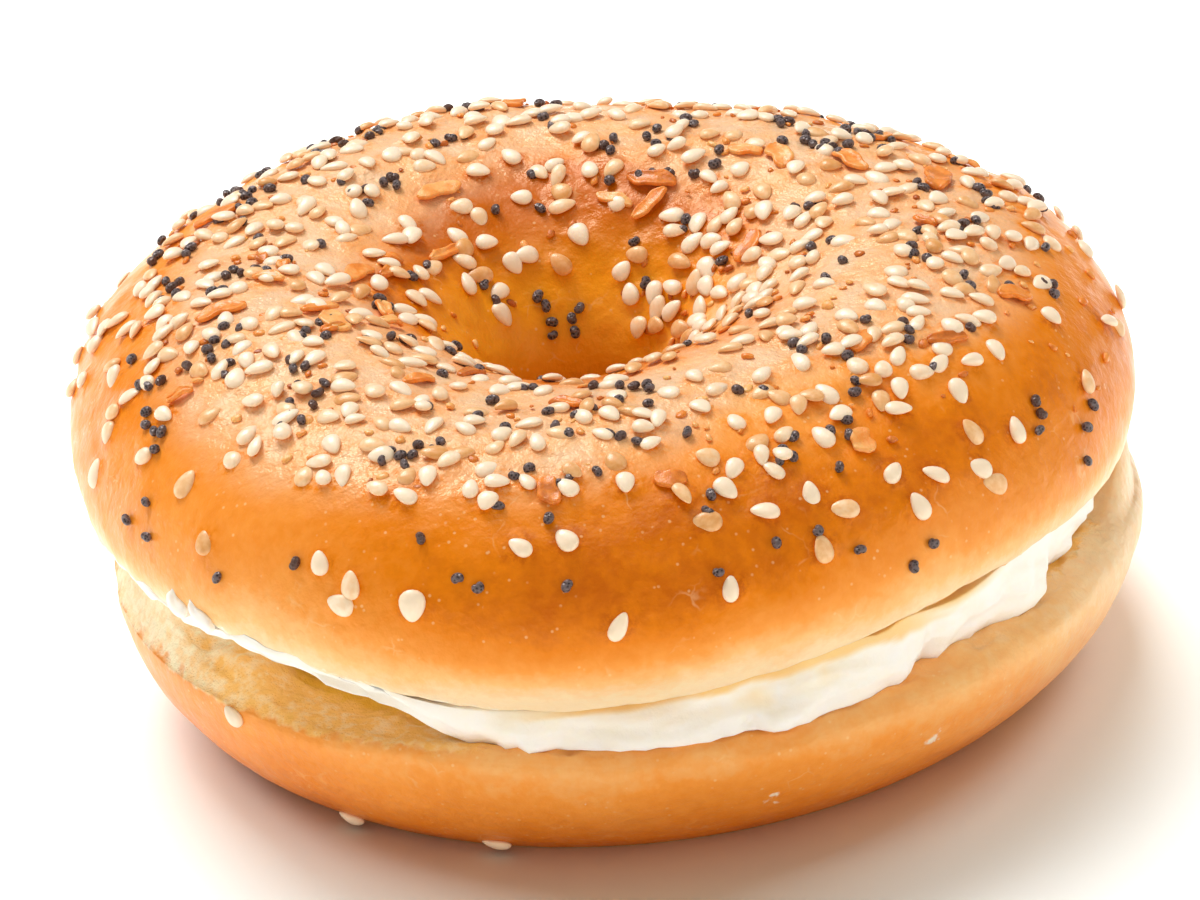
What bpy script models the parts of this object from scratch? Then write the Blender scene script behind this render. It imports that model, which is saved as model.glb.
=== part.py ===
"""A bagel sandwich: a seeded ring bagel, cut in two level, with a layer of cream cheese between.

Real size in metres, +Z up. The origin is on the ground below the middle of the sandwich.
Lengths below are millimetres and angles degrees, unless a comment says otherwise. An angle runs
round the ring from +X towards +Y, so the front, which faces -Y, is at -90. A climb runs over the
top half's crust: 0 where it is widest, 90 on the crest, 180 at the narrowest place of the hole.
"""

import math
import random

import bmesh
import bpy
from mathutils import Matrix, Vector

MM = 0.001

# Round the ring: the steps of every piece's mesh
RING_STEPS = 48

# Top half: a crust that is widest above its cut and rolls over a crest into the hole
TOP_RADIUS = 54.9
TOP_CENTRE = (-1.45, 0.5)
CREST_INSET = 22.5
WIDEST_HEIGHT = 27.0
CREST_RISE = 16.6
TUCK_DEPTH = 14.0

# How far the top half's outline is from round, as shares of its radius, and where it is longest
TOP_OVAL = 0.008
TOP_OVAL_ANGLE = 104.0
TOP_THREE_LOBES = 0.020
TOP_LOBE_ANGLE = 7.0

# The crust's broad swells, and the climbs over which they come in and die out
SWELL = 0.35
SWELL_COMES_IN = (-10.0, 30.0)
SWELL_DIES_OUT = (130.0, 175.0)

# The hole, and the top half's cut face
HOLE_CENTRE = (-2.4, 0.9)
HOLE_RADIUS = 7.8
THROAT_HEIGHT = 26.5
HOLE_ROUNDNESS = 1.05
SHOULDER_FALL = 1.2
TOP_HOLE_FOOT = 9.4
TOP_CUT_HEIGHT = 22.3

# Bottom half
BOTTOM_RADIUS = 53.6
BOTTOM_CENTRE = (1.5, -0.1)
BOTTOM_BULGE = 23.8
BOTTOM_DEPTH = 20.4
BOTTOM_WIDEST = 16.4
BOTTOM_OVAL = 0.023
BOTTOM_OVAL_ANGLE = 52.0
BOTTOM_CUT_HEIGHT = 14.8
BOTTOM_HOLE_TOP = 10.2
BOTTOM_HOLE_FOOT = 13.0

# Cream cheese, which keeps a gap to both halves
GAP = 0.4
CHEESE_RADIUS = 49.9
CHEESE_CENTRE = (0.0, 0.0)
CHEESE_HOLE = 12.4
CHEESE_BULGE = 0.6
CHEESE_INSET = 0.9
STRIP_INSET = 0.27
STRIP_THICKNESS = 1.5
CHEESE_BEHIND_LIP = 40.5

# Bumps round the ring: height or reach in millimetres, then centre and half-width in degrees
CREST_FRONT_DIP = (0.9, -90.0, 80.0)
CREST_BACK_RISE = (0.7, 35.0, 60.0)
EDGE_FRONT_SAG = (4.1, -93.0, 45.0)
EDGE_LEFT_LIFT = (0.7, -158.0, 40.0)
EDGE_RIGHT_LIFT = (0.6, -42.0, 26.0)
RIM_RIGHT_LIFT = (1.6, -12.0, 50.0)
CHEESE_PRESSED_OUT = ((2.2, -86.0, 48.0), (0.8, -37.0, 16.0))
CHEESE_HELD_BACK = ((2.0, -48.0, 24.0), (4.2, -8.0, 46.0), (2.0, 90.0, 80.0))
CHEESE_DROOPS = ((1.6, -46.0, 24.0), (1.0, 60.0, 25.0))

# Level stretches round the ring: centre, half-width and softness of the ends in degrees
LEFT_LIP_SPAN = (-171.0, 35.0, 6.0)
LEFT_PEAK_SPAN = (-180.0, 28.0, 5.0)
RIGHT_LIP_SPAN = (9.0, 16.0, 7.0)
STRIP_SPAN = (-167.0, 55.0, 4.0)
HIDDEN_SPANS = ((-180.0, 32.0, 4.0), (9.0, 20.0, 6.0))
CLEAN_FRONT_SPAN = (-90.0, 66.0, 8.0)

# The torn lips of crumb on the bottom half's cut face
LEFT_LIP = 3.5
LEFT_PEAK = 3.0
RIGHT_LIP = 5.4

# Where things happen on a cut face, as shares of the outline's radius
TOP_FACE_BENDS = (0.55, 0.95)
BOTTOM_FACE_BENDS = (0.55, 0.98)
LIP_RISES = (0.81, 0.89)
LIP_FALLS = (0.94, 1.0)

# Where the layer begins to follow its edge, by the radius
CHEESE_EDGE_ZONE = (37.0, CHEESE_RADIUS)

# Toppings: seeds as length, width and thickness, and onion flakes
SEED_SIZE = (3.0, 1.9, 1.0)
SEED_TAPER = 0.32
SEED_RISE = 0.16
SEED_COUNT = 154
SEED_SPACING = 3.7
BIG_SEED_SIZE = (3.6, 2.3, 1.2)
BIG_SEED_PLACE = (-110, 18, 0)
FLAKE_THICKNESS = 1.1
FLAKE_TAPER = 0.12
FLAKE_RISE = 0.2
DRAW = 11

# Where the scattered seeds lie: climbs from and to, and the climbs over which they come in
SEED_CLIMBS = (4.0, 156.0)
FIRST_SEEDS = (4.0, 8.0)
FEW_SEEDS = (12.0, 34.0)
MANY_SEEDS = (40.0, 62.0)
CLEAN_FRONT_ENDS = (44.0, 52.0)
HOLE_SEEDS_END = (128.0, 156.0)

# Seeds that lie apart low on the flank, chosen by hand: angle, climb and turn
FLANK_SEEDS = (
    (-118, 15, 80), (-117, 22, 10), (-121, 27, 20), (-137, 21, 30), (-144, 34, 0), (-164, 13, 20),
    (-99, 38, 60), (-94, 40, 40), (-89, 10, -30), (-77, 17, -20), (-78, 40, 80), (-71, 39, 70),
    (-66, 22, 0), (-65, 40, -10), (-62, 32, 70), (-54, 37, -60), (-53, 24, 10), (-49, 31, 50),
    (-43, 26, 50), (-42, 19, 60), (-41, 37, 10), (-35, 30, -30),
)

# Onion flakes, chosen by hand: angle, climb, turn, length and width
FLAKES = (
    (-156, 100, 80, 6.0, 2.6), (-171, 74, 0, 5.4, 2.6), (98, 66, 0, 3.8, 2.4),
    (68, 115, 90, 5.5, 2.2), (21, 72, 70, 6.4, 2.8), (44, 96, 60, 5.0, 2.4),
    (33, 86, 95, 5.0, 2.2), (20, 125, 30, 4.5, 2.2), (-15, 58, 40, 4.0, 2.2),
    (123, 109, 90, 5.4, 2.0), (-96, 56, 20, 3.6, 2.2), (-81, 56, 80, 3.4, 2.2),
    (-55, 50, 0, 3.2, 2.4), (150, 62, 40, 5.2, 2.4), (172, 112, 60, 4.8, 2.2),
)

# Steps over each section
FLANK_STEPS = 12
FUNNEL_STEPS = 10
WALL_STEPS = 2
BOTTOM_FLANK_STEPS = 8
CHEESE_EDGE_STEPS = 3

# Parts of the way over a cut face, from the hole out, and over the bottom half's from its rim in
FACE_PARTS = (0.0, 0.45, 0.62, 0.78, 0.90, 1.0)
FACE_STEPS = len(FACE_PARTS) - 1
CRUMB_PARTS = (0.0, 0.02, 0.06, 0.12, 0.2, 0.27, 0.5, 1.0)
CRUMB_STEPS = len(CRUMB_PARTS) - 1


def ramp(value, low, high):
    """0 below low, 1 above high, smooth between."""
    part = min(max((value - low) / (high - low), 0.0), 1.0)
    return part * part * (3.0 - 2.0 * part)


def away(angle, centre):
    """How many degrees an angle in radians is from a centre in degrees, either way round."""
    return abs((math.degrees(angle) - centre + 180.0) % 360.0 - 180.0)


def bump(angle, shape):
    """A smooth bump round the ring: its full size at its centre, 0 from its half-width on."""
    size, centre, half_width = shape
    distance = away(angle, centre)
    if distance >= half_width:
        return 0.0
    return size * (0.5 + 0.5 * math.cos(math.pi * distance / half_width))


def bumps(angle, shapes):
    """Several bumps together."""
    return sum(bump(angle, shape) for shape in shapes)


def span(angle, shape):
    """1 on a stretch round the ring and 0 past its soft ends."""
    centre, half_width, soft = shape
    return 1.0 - ramp(away(angle, centre), half_width - soft, half_width + soft)


def at(centre, angle, radius):
    """The plan position at a radius and an angle round a centre."""
    return centre[0] + radius * math.cos(angle), centre[1] + radius * math.sin(angle)


def around(centre, x, y):
    """The angle and the radius of a plan position round a centre."""
    return math.atan2(y - centre[1], x - centre[0]), math.hypot(x - centre[0], y - centre[1])


def between(start, end, part):
    """The plan position a part of the way from one to another."""
    return start[0] + (end[0] - start[0]) * part, start[1] + (end[1] - start[1]) * part


def top_outline(angle):
    """The top half's widest radius at an angle."""
    oval = TOP_OVAL * math.cos(2.0 * (angle - math.radians(TOP_OVAL_ANGLE)))
    lobes = TOP_THREE_LOBES * math.cos(3.0 * (angle - math.radians(TOP_LOBE_ANGLE)))
    return TOP_RADIUS * (1.0 + oval + lobes)


def bottom_outline(angle):
    """The bottom half's widest radius at an angle."""
    oval = BOTTOM_OVAL * math.cos(2.0 * (angle - math.radians(BOTTOM_OVAL_ANGLE)))
    return BOTTOM_RADIUS * (1.0 + oval)


def top_edge_height(angle):
    """The height of the top half's cut edge, which sags at the front and lifts on both sides of it."""
    lift = bump(angle, EDGE_LEFT_LIFT) + bump(angle, EDGE_RIGHT_LIFT)
    return TOP_CUT_HEIGHT - bump(angle, EDGE_FRONT_SAG) + lift


def top_face_height(x, y):
    """The top half's cut face, level inside and bending to the cut edge's height."""
    angle, radius = around(TOP_CENTRE, x, y)
    bend = ramp(radius / top_outline(angle), *TOP_FACE_BENDS)
    return TOP_CUT_HEIGHT + (top_edge_height(angle) - TOP_CUT_HEIGHT) * bend


def bottom_rim_height(angle):
    """The height of the bottom half's rim, which lifts at the right."""
    return BOTTOM_CUT_HEIGHT + bump(angle, RIM_RIGHT_LIFT)


def bottom_face_height(x, y):
    """The bottom half's cut face: level inside, with a torn lip of crumb at the left and the right."""
    angle, radius = around(BOTTOM_CENTRE, x, y)
    out = radius / bottom_outline(angle)
    bend = bump(angle, RIM_RIGHT_LIFT) * ramp(out, *BOTTOM_FACE_BENDS)
    left_lip = LEFT_LIP * span(angle, LEFT_LIP_SPAN) + LEFT_PEAK * span(angle, LEFT_PEAK_SPAN)
    lip = left_lip + RIGHT_LIP * span(angle, RIGHT_LIP_SPAN)
    return BOTTOM_CUT_HEIGHT + bend + lip * ramp(out, *LIP_RISES) * (1.0 - ramp(out, *LIP_FALLS))


def swell(angle, climb):
    """The crust's broad unevenness, which dies out at the cut edge and in the hole."""
    fade = ramp(climb, *SWELL_COMES_IN) * (1.0 - ramp(climb, *SWELL_DIES_OUT))
    slope = math.radians(climb)
    long_roll = math.sin(3.0 * angle + 2.0 * slope)
    middle_roll = 0.7 * math.sin(5.0 * angle - 3.0 * slope + 1.0)
    short_roll = 0.5 * math.sin(8.0 * angle + 4.0 * slope + 2.0)
    return SWELL * fade * (long_roll + middle_roll + short_roll)


def crust_point(angle, climb):
    """A point of the top half's crust, from its cut edge over the crest into the hole."""
    slope = math.radians(climb)
    outline = top_outline(angle)
    extra = swell(angle, climb)
    crest_rise = CREST_RISE - bump(angle, CREST_FRONT_DIP) + bump(angle, CREST_BACK_RISE) + extra
    if climb <= 90.0:
        rise = crest_rise if climb > 0.0 else TUCK_DEPTH
        radius = outline - CREST_INSET * (1.0 - math.cos(slope)) + extra * math.cos(slope)
        x, y = at(TOP_CENTRE, angle, radius)
        return Vector((x, y, WIDEST_HEIGHT + rise * math.sin(slope)))
    crest = at(TOP_CENTRE, angle, outline - CREST_INSET)
    throat = at(HOLE_CENTRE, angle, HOLE_RADIUS)
    x, y = between(crest, throat, abs(math.cos(slope)) ** HOLE_ROUNDNESS)
    drop = WIDEST_HEIGHT + crest_rise - THROAT_HEIGHT
    return Vector((x, y, THROAT_HEIGHT + drop * math.sin(slope) ** SHOULDER_FALL))


def edge_climb(angle):
    """The climb, below 0, at which the crust meets the top half's cut face."""
    return -math.degrees(math.asin((WIDEST_HEIGHT - top_edge_height(angle)) / TUCK_DEPTH))


def top_section(angle, step):
    """The top half's section: up the flank, down the funnel and the hole, out over the cut face."""
    low = edge_climb(angle)
    if step <= FLANK_STEPS:
        return crust_point(angle, low + (90.0 - low) * step / FLANK_STEPS)
    step -= FLANK_STEPS
    if step <= FUNNEL_STEPS:
        return crust_point(angle, 90.0 + 90.0 * step / FUNNEL_STEPS)
    step -= FUNNEL_STEPS
    foot = at(HOLE_CENTRE, angle, TOP_HOLE_FOOT)
    if step <= WALL_STEPS:
        part = step / WALL_STEPS
        x, y = between(at(HOLE_CENTRE, angle, HOLE_RADIUS), foot, part * part)
        return Vector((x, y, THROAT_HEIGHT + (TOP_CUT_HEIGHT - THROAT_HEIGHT) * part))
    edge = crust_point(angle, low)
    x, y = between(foot, (edge.x, edge.y), FACE_PARTS[step - WALL_STEPS])
    return Vector((x, y, top_face_height(x, y)))


def bottom_section(angle, step):
    """The bottom half's section: in over the cut face, down the hole, out below, up the flank."""
    outline = bottom_outline(angle)
    rim_slope = math.asin((bottom_rim_height(angle) - BOTTOM_WIDEST) / BOTTOM_DEPTH)
    foot_slope = math.asin(-BOTTOM_WIDEST / BOTTOM_DEPTH)
    if step <= CRUMB_STEPS:
        rim = at(BOTTOM_CENTRE, angle, outline - BOTTOM_BULGE * (1.0 - math.cos(rim_slope)))
        x, y = between(rim, at(HOLE_CENTRE, angle, BOTTOM_HOLE_TOP), CRUMB_PARTS[step])
        return Vector((x, y, bottom_face_height(x, y)))
    step -= CRUMB_STEPS
    if step <= WALL_STEPS:
        part = step / WALL_STEPS
        radius = BOTTOM_HOLE_TOP + (BOTTOM_HOLE_FOOT - BOTTOM_HOLE_TOP) * part * part
        x, y = at(HOLE_CENTRE, angle, radius)
        return Vector((x, y, BOTTOM_CUT_HEIGHT * (1.0 - part)))
    part = (step - WALL_STEPS - 1) / BOTTOM_FLANK_STEPS
    slope = foot_slope + (rim_slope - foot_slope) * part
    x, y = at(BOTTOM_CENTRE, angle, outline - BOTTOM_BULGE * (1.0 - math.cos(slope)))
    height = BOTTOM_WIDEST + BOTTOM_DEPTH * math.sin(slope)
    return Vector((x, y, max(height, 0.0)))


def behind_lip(angle, radius):
    """The radius of the layer's edge, drawn in where a lip of crumb stands in front of it."""
    hidden = sum(span(angle, stretch) for stretch in HIDDEN_SPANS)
    return radius + (CHEESE_BEHIND_LIP - radius) * hidden


def cheese_high_edge(angle):
    """Where the layer ends under the top half: inside its cut edge, and near it in the strip."""
    edge = crust_point(angle, edge_climb(angle))
    inset = CHEESE_INSET + (STRIP_INSET - CHEESE_INSET) * span(angle, STRIP_SPAN)
    return behind_lip(angle, math.hypot(edge.x, edge.y) - inset)


def cheese_low_edge(angle):
    """Where the layer ends on the bottom half, except at the left, where it hangs in a thin strip."""
    reach = CHEESE_RADIUS + bumps(angle, CHEESE_PRESSED_OUT) - bumps(angle, CHEESE_HELD_BACK)
    free = behind_lip(angle, reach)
    return free + (cheese_high_edge(angle) - free) * span(angle, STRIP_SPAN)


def cheese_top(angle, x, y):
    """The height of the layer's upper side, which droops at the right."""
    edge_zone = ramp(math.hypot(x, y), *CHEESE_EDGE_ZONE)
    return top_face_height(x, y) - GAP - edge_zone * bumps(angle, CHEESE_DROOPS)


def cheese_underside(angle, x, y):
    """The height of the layer's lower side, which is lifted where the layer is a thin strip."""
    edge_zone = ramp(math.hypot(x, y), *CHEESE_EDGE_ZONE)
    floor = bottom_face_height(x, y) + GAP
    strip_floor = top_face_height(x, y) - GAP - STRIP_THICKNESS
    return floor + (strip_floor - floor) * span(angle, STRIP_SPAN) * edge_zone


def cheese_section(angle, step):
    """The layer's section: in over its upper side, down the hole, out below, up the outer edge."""
    low_edge = cheese_low_edge(angle)
    high_edge = cheese_high_edge(angle)
    if step <= FACE_STEPS:
        radius = CHEESE_HOLE + (high_edge - CHEESE_HOLE) * FACE_PARTS[FACE_STEPS - step]
        x, y = at(CHEESE_CENTRE, angle, radius)
        return Vector((x, y, cheese_top(angle, x, y)))
    step -= FACE_STEPS + 1
    if step <= FACE_STEPS:
        radius = CHEESE_HOLE + (low_edge - CHEESE_HOLE) * FACE_PARTS[step]
        x, y = at(CHEESE_CENTRE, angle, radius)
        return Vector((x, y, cheese_underside(angle, x, y)))
    part = (step - FACE_STEPS) / (CHEESE_EDGE_STEPS + 1)
    bulge = CHEESE_BULGE * math.sin(math.pi * part)
    x, y = at(CHEESE_CENTRE, angle, low_edge + (high_edge - low_edge) * part + bulge)
    low = cheese_underside(angle, x, y)
    high = cheese_top(angle, x, y)
    return Vector((x, y, low + (high - low) * part))


def material(name, color, roughness):
    """A plain finish of one colour."""
    made = bpy.data.materials.new(name)
    made.use_nodes = True
    shader = made.node_tree.nodes["Principled BSDF"]
    shader.inputs["Base Color"].default_value = (*color, 1.0)
    shader.inputs["Roughness"].default_value = roughness
    shader.inputs["Metallic"].default_value = 0.0
    return made


def ring(name, section, steps, finish, collection):
    """A closed ring: a torus whose every cross-section is set to a section function's points."""
    bpy.ops.mesh.primitive_torus_add(
        major_segments=RING_STEPS, minor_segments=steps, major_radius=1.0, minor_radius=0.5
    )
    piece = bpy.context.object
    piece.name = name
    piece.data.name = name
    for vertex in piece.data.vertices:
        out = math.hypot(vertex.co.x, vertex.co.y) - 1.0
        turn = math.atan2(vertex.co.z, out) % math.tau
        step = round(turn / math.tau * steps) % steps
        vertex.co = section(math.atan2(vertex.co.y, vertex.co.x), step) * MM
    piece.data.materials.append(finish)
    piece.data.shade_smooth()
    piece.data.set_sharp_from_angle(angle=math.radians(40.0))
    for owner in list(piece.users_collection):
        owner.objects.unlink(piece)
    collection.objects.link(piece)
    return piece


def surface_frame(angle, climb):
    """A point of the crust, the way that leads up the crust from it, and the way out of it."""
    nearby = 0.5
    turn = math.radians(nearby)
    up = (crust_point(angle, climb + nearby) - crust_point(angle, climb - nearby)).normalized()
    side = crust_point(angle + turn, climb) - crust_point(angle - turn, climb)
    return crust_point(angle, climb), up, side.cross(up).normalized()


def seed_share(angle, climb):
    """How thickly the seeds lie, from 0 to 1: on the crown most, low on the flanks hardly."""
    if climb > 90.0:
        crowding = math.hypot(*crust_point(angle, climb).xy) / TOP_RADIUS
        return (1.0 - ramp(climb, *HOLE_SEEDS_END)) * crowding
    share = 0.03 + 0.22 * ramp(climb, *FEW_SEEDS) + 0.75 * ramp(climb, *MANY_SEEDS)
    clean = span(angle, CLEAN_FRONT_SPAN) * (1.0 - ramp(climb, *CLEAN_FRONT_ENDS))
    return share * ramp(climb, *FIRST_SEEDS) * (1.0 - clean)


def scatter_seeds(taken):
    """Places for the other seeds, drawn by the rule above, none too near to one already taken."""
    draw = random.Random(DRAW)
    points = [crust_point(math.radians(place[0]), place[1]) for place in taken]
    places = []
    while len(places) < SEED_COUNT:
        angle = draw.uniform(-180.0, 180.0)
        climb = draw.uniform(*SEED_CLIMBS)
        turn = draw.uniform(0.0, 360.0)
        if draw.random() > seed_share(math.radians(angle), climb):
            continue
        point = crust_point(math.radians(angle), climb)
        if all((point - other).length > SEED_SPACING for other in points):
            points.append(point)
            places.append((angle, climb, turn))
    return places


def drop_mesh(name, taper):
    """A flat drop of unit size, blunt at one end and narrower at the other by the taper."""
    body = bmesh.new()
    bmesh.ops.create_uvsphere(body, u_segments=6, v_segments=3, radius=0.5)
    for vertex in body.verts:
        along = vertex.co.z
        slim = 1.0 - 2.0 * taper * along
        vertex.co = Vector((along, vertex.co.x * slim, vertex.co.y * slim))
    bmesh.ops.recalc_face_normals(body, faces=body.faces)
    mesh = bpy.data.meshes.new(name)
    body.to_mesh(mesh)
    body.free()
    return mesh


def lay(mesh, place, size, rise, collection):
    """Lays a topping on the crust, its length turned from the way that leads up the crust."""
    angle, climb, turn = place
    point, up, out = surface_frame(math.radians(angle), climb)
    length = up * math.cos(math.radians(turn)) + out.cross(up) * math.sin(math.radians(turn))
    width = out.cross(length)
    piece = bpy.data.objects.new(mesh.name, mesh)
    basis = Matrix((length * size[0], width * size[1], out * size[2])).transposed() * MM
    piece.matrix_world = Matrix.Translation((point + out * rise) * MM) @ basis.to_4x4()
    collection.objects.link(piece)


def lay_toppings(collection):
    """Lays every flake and seed where it belongs on the crust."""
    seed = drop_mesh("sesame", SEED_TAPER)
    flake = drop_mesh("onion_flake", FLAKE_TAPER)
    for angle, climb, turn, length, width in FLAKES:
        lay(flake, (angle, climb, turn), (length, width, FLAKE_THICKNESS), FLAKE_RISE, collection)
    lay(seed, BIG_SEED_PLACE, BIG_SEED_SIZE, SEED_RISE, collection)
    others = scatter_seeds(FLANK_SEEDS + FLAKES + (BIG_SEED_PLACE,))
    for place in list(FLANK_SEEDS) + others:
        lay(seed, place, SEED_SIZE, SEED_RISE, collection)


def sprinkle(piece):
    """Fuses the toppings to the crust by one union."""
    toppings = bpy.data.collections.new("toppings")
    bpy.context.scene.collection.children.link(toppings)
    lay_toppings(toppings)
    union = piece.modifiers.new("toppings", "BOOLEAN")
    union.operation = "UNION"
    union.operand_type = "COLLECTION"
    union.collection = toppings
    union.solver = "MANIFOLD"
    bpy.context.view_layer.objects.active = piece
    bpy.ops.object.modifier_apply(modifier=union.name)
    for topping in list(toppings.objects):
        bpy.data.objects.remove(topping)
    bpy.data.collections.remove(toppings)


def bagel_bottom(collection):
    """The bottom half, with its cut face up."""
    steps = CRUMB_STEPS + WALL_STEPS + 1 + BOTTOM_FLANK_STEPS
    pale_crust = material("pale_crust", (0.78, 0.40, 0.13), 0.45)
    return ring("bagel_bottom", bottom_section, steps, pale_crust, collection)


def cream_cheese(collection):
    """The layer between the halves."""
    steps = FACE_STEPS * 2 + 2 + CHEESE_EDGE_STEPS
    cream = material("cream_cheese", (0.93, 0.88, 0.78), 0.40)
    return ring("cream_cheese", cheese_section, steps, cream, collection)


def bagel_top(collection):
    """The top half, with its seeds and flakes."""
    steps = FLANK_STEPS + FUNNEL_STEPS + WALL_STEPS + FACE_STEPS
    golden_crust = material("golden_crust", (0.72, 0.31, 0.07), 0.38)
    top = ring("bagel_top", top_section, steps, golden_crust, collection)
    sprinkle(top)
    return top


def main():
    """Builds the sandwich from the ground up."""
    for leftover in list(bpy.data.objects):
        bpy.data.objects.remove(leftover)
    sandwich = bpy.data.collections.new("bagel_sandwich")
    bpy.context.scene.collection.children.link(sandwich)
    bagel_bottom(sandwich)
    cream_cheese(sandwich)
    bagel_top(sandwich)


main()
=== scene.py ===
"""A bagel sandwich with cream cheese, dressed for its picture.

The three solids are replaced by finer ones of the same form, and the seeds, the onion flakes and
the last curls of cheese are laid on them. Lengths are millimetres and angles degrees, unless a
comment says otherwise. An angle runs round the ring from +X towards +Y, so the front is at -90.
A climb runs over the top half's crust: 0 where it is widest, 90 on the crest, 180 in the hole.
"""

import itertools
import logging
import math
import random
from collections.abc import Sequence
from dataclasses import dataclass, field, replace
from enum import Enum

import bmesh
import bpy
import numpy as np
from mathutils import Matrix, Vector
from mathutils.kdtree import KDTree


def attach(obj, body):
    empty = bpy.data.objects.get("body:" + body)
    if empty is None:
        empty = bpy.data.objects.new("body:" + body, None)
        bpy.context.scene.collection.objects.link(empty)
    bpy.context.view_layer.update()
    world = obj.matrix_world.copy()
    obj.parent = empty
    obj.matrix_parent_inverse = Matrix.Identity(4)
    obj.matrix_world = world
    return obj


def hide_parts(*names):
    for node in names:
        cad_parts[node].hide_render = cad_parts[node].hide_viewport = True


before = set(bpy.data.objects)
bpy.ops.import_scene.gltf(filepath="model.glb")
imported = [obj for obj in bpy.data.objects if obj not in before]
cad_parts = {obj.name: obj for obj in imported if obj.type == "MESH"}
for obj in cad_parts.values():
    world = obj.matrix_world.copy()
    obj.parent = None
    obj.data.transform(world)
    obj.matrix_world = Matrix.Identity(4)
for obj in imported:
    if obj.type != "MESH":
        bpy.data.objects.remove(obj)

Array = np.ndarray
Socket = bpy.types.NodeSocket
Piece = bpy.types.Object
Color = tuple[float, float, float]
Size = tuple[float, float, float]
Range = tuple[float, float]

MM = 0.001
ORIGIN = (0.0, 0.0)

# Climbs on the top half: its crest, its throat, the foot of the hole, and the cut face's two edges.
CREST, THROAT, FOOT, FACE, RIM = 90.0, 180.0, 190.0, 200.0, 300.0

LOG = logging.getLogger("bagel")


def ramp(value: Array, low: float, high: float) -> Array:
    """The share of a smooth rise, from 0 where a value is low to 1 where it is high."""
    part = np.clip((np.asarray(value, float) - low) / (high - low), 0.0, 1.0)
    return part * part * (3.0 - 2.0 * part)


def band(value: Array, rise: Range, fall: Range) -> Array:
    """1 between a rise and a fall, each a range of the value, and 0 on both sides of them."""
    return ramp(value, *rise) * (1.0 - ramp(value, *fall))


def away(angle: Array, centre: float) -> Array:
    """How many degrees an angle in radians is from a centre in degrees, either way round."""
    return np.abs((np.degrees(angle) - centre + 180.0) % 360.0 - 180.0)


def at(centre: tuple[float, float], angle: Array, radius: Array) -> Array:
    """The plan positions at an angle in radians and a radius round a centre, two to a row."""
    return np.stack([centre[0] + radius * np.cos(angle), centre[1] + radius * np.sin(angle)], -1)


def around(centre: tuple[float, float], plan: Array) -> tuple[Array, Array]:
    """The angle in radians and the radius of plan positions round a centre."""
    x, y = plan[..., 0] - centre[0], plan[..., 1] - centre[1]
    return np.arctan2(y, x), np.hypot(x, y)


def between(start: Array, end: Array, part: Array) -> Array:
    """The positions a part of the way from some to others."""
    return start + (end - start) * np.asarray(part)[..., None]


def raised(plan: Array, height: Array) -> Array:
    """Plan positions with their heights, three to a row."""
    return np.concatenate([plan, np.asarray(height)[..., None]], -1)


@dataclass(frozen=True)
class Bump:
    """A smooth bump round the ring: its size, its centre and its half-width."""

    size: float
    centre: float
    half_width: float

    def at(self, angle: Array) -> Array:
        """The bump's size at angles in radians."""
        distance = np.minimum(away(angle, self.centre), self.half_width)
        return self.size * (0.5 + 0.5 * np.cos(np.pi * distance / self.half_width))


@dataclass(frozen=True)
class Stretch:
    """A level stretch round the ring, with soft ends."""

    centre: float
    half_width: float
    soft: float

    def at(self, angle: Array) -> Array:
        """1 on the stretch and 0 past its ends, at angles in radians."""
        distance = away(angle, self.centre)
        return 1.0 - ramp(distance, self.half_width - self.soft, self.half_width + self.soft)


class Lumps:
    """Smooth lumps all through space, from -1 to 1, about one size across."""

    SIDE = 48

    def __init__(self, seed: int, size: float, stretch: Sequence[float]) -> None:
        """Draws the lumps of a seed, so far apart, and longer along X, Y and Z by the stretch."""
        self.size = size * np.array(stretch)
        self.heights = np.random.default_rng(seed).uniform(-1.0, 1.0, (self.SIDE,) * 3)

    def at(self, points: Array) -> Array:
        """The height of the lumps.

        Args:
            points: The points, three to a row.

        Returns:
            The height at each, from -1 to 1.
        """
        cell = points / self.size
        low = np.floor(cell).astype(int)
        part = cell - low
        part = part * part * (3.0 - 2.0 * part)
        height = np.zeros(points.shape[:-1])
        for corner in itertools.product((0, 1), repeat=3):
            index = (low + corner) % self.SIDE
            weight = np.prod(np.where(corner, part, 1.0 - part), axis=-1)
            height += weight * self.heights[index[..., 0], index[..., 1], index[..., 2]]
        return height


class Spots:
    """Round spots scattered through space, each 1 in its middle and 0 at its rim."""

    SIDE = 32

    def __init__(self, seed: int, spacing: float, share: float) -> None:
        """Draws the spots.

        Args:
            seed: Which spots to draw.
            spacing: The size of the cells of space that hold one spot each.
            share: How many of the cells hold one.
        """
        draw = np.random.default_rng(seed)
        self.spacing = spacing
        self.centres = draw.uniform(0.1, 0.9, (self.SIDE,) * 3 + (3,))
        self.reach = draw.uniform(0.25, 0.6, (self.SIDE,) * 3)
        self.reach *= draw.uniform(size=(self.SIDE,) * 3) < share

    def at(self, points: Array) -> Array:
        """How near points are to the middle of a spot.

        Args:
            points: The points, three to a row.

        Returns:
            The nearness of each, from 0 outside the spots to 1 in the middle of one.
        """
        cell = points / self.spacing
        low = np.floor(cell).astype(int)
        nearest = np.zeros(points.shape[:-1])
        for corner in itertools.product((-1, 0, 1), repeat=3):
            place = low + corner
            index = tuple(np.moveaxis(place % self.SIDE, -1, 0))
            distance = np.linalg.norm(cell - place - self.centres[index], axis=-1)
            reach = np.maximum(self.reach[index], 1e-6)
            nearest = np.maximum(nearest, 1.0 - distance / reach)
        return nearest


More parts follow.
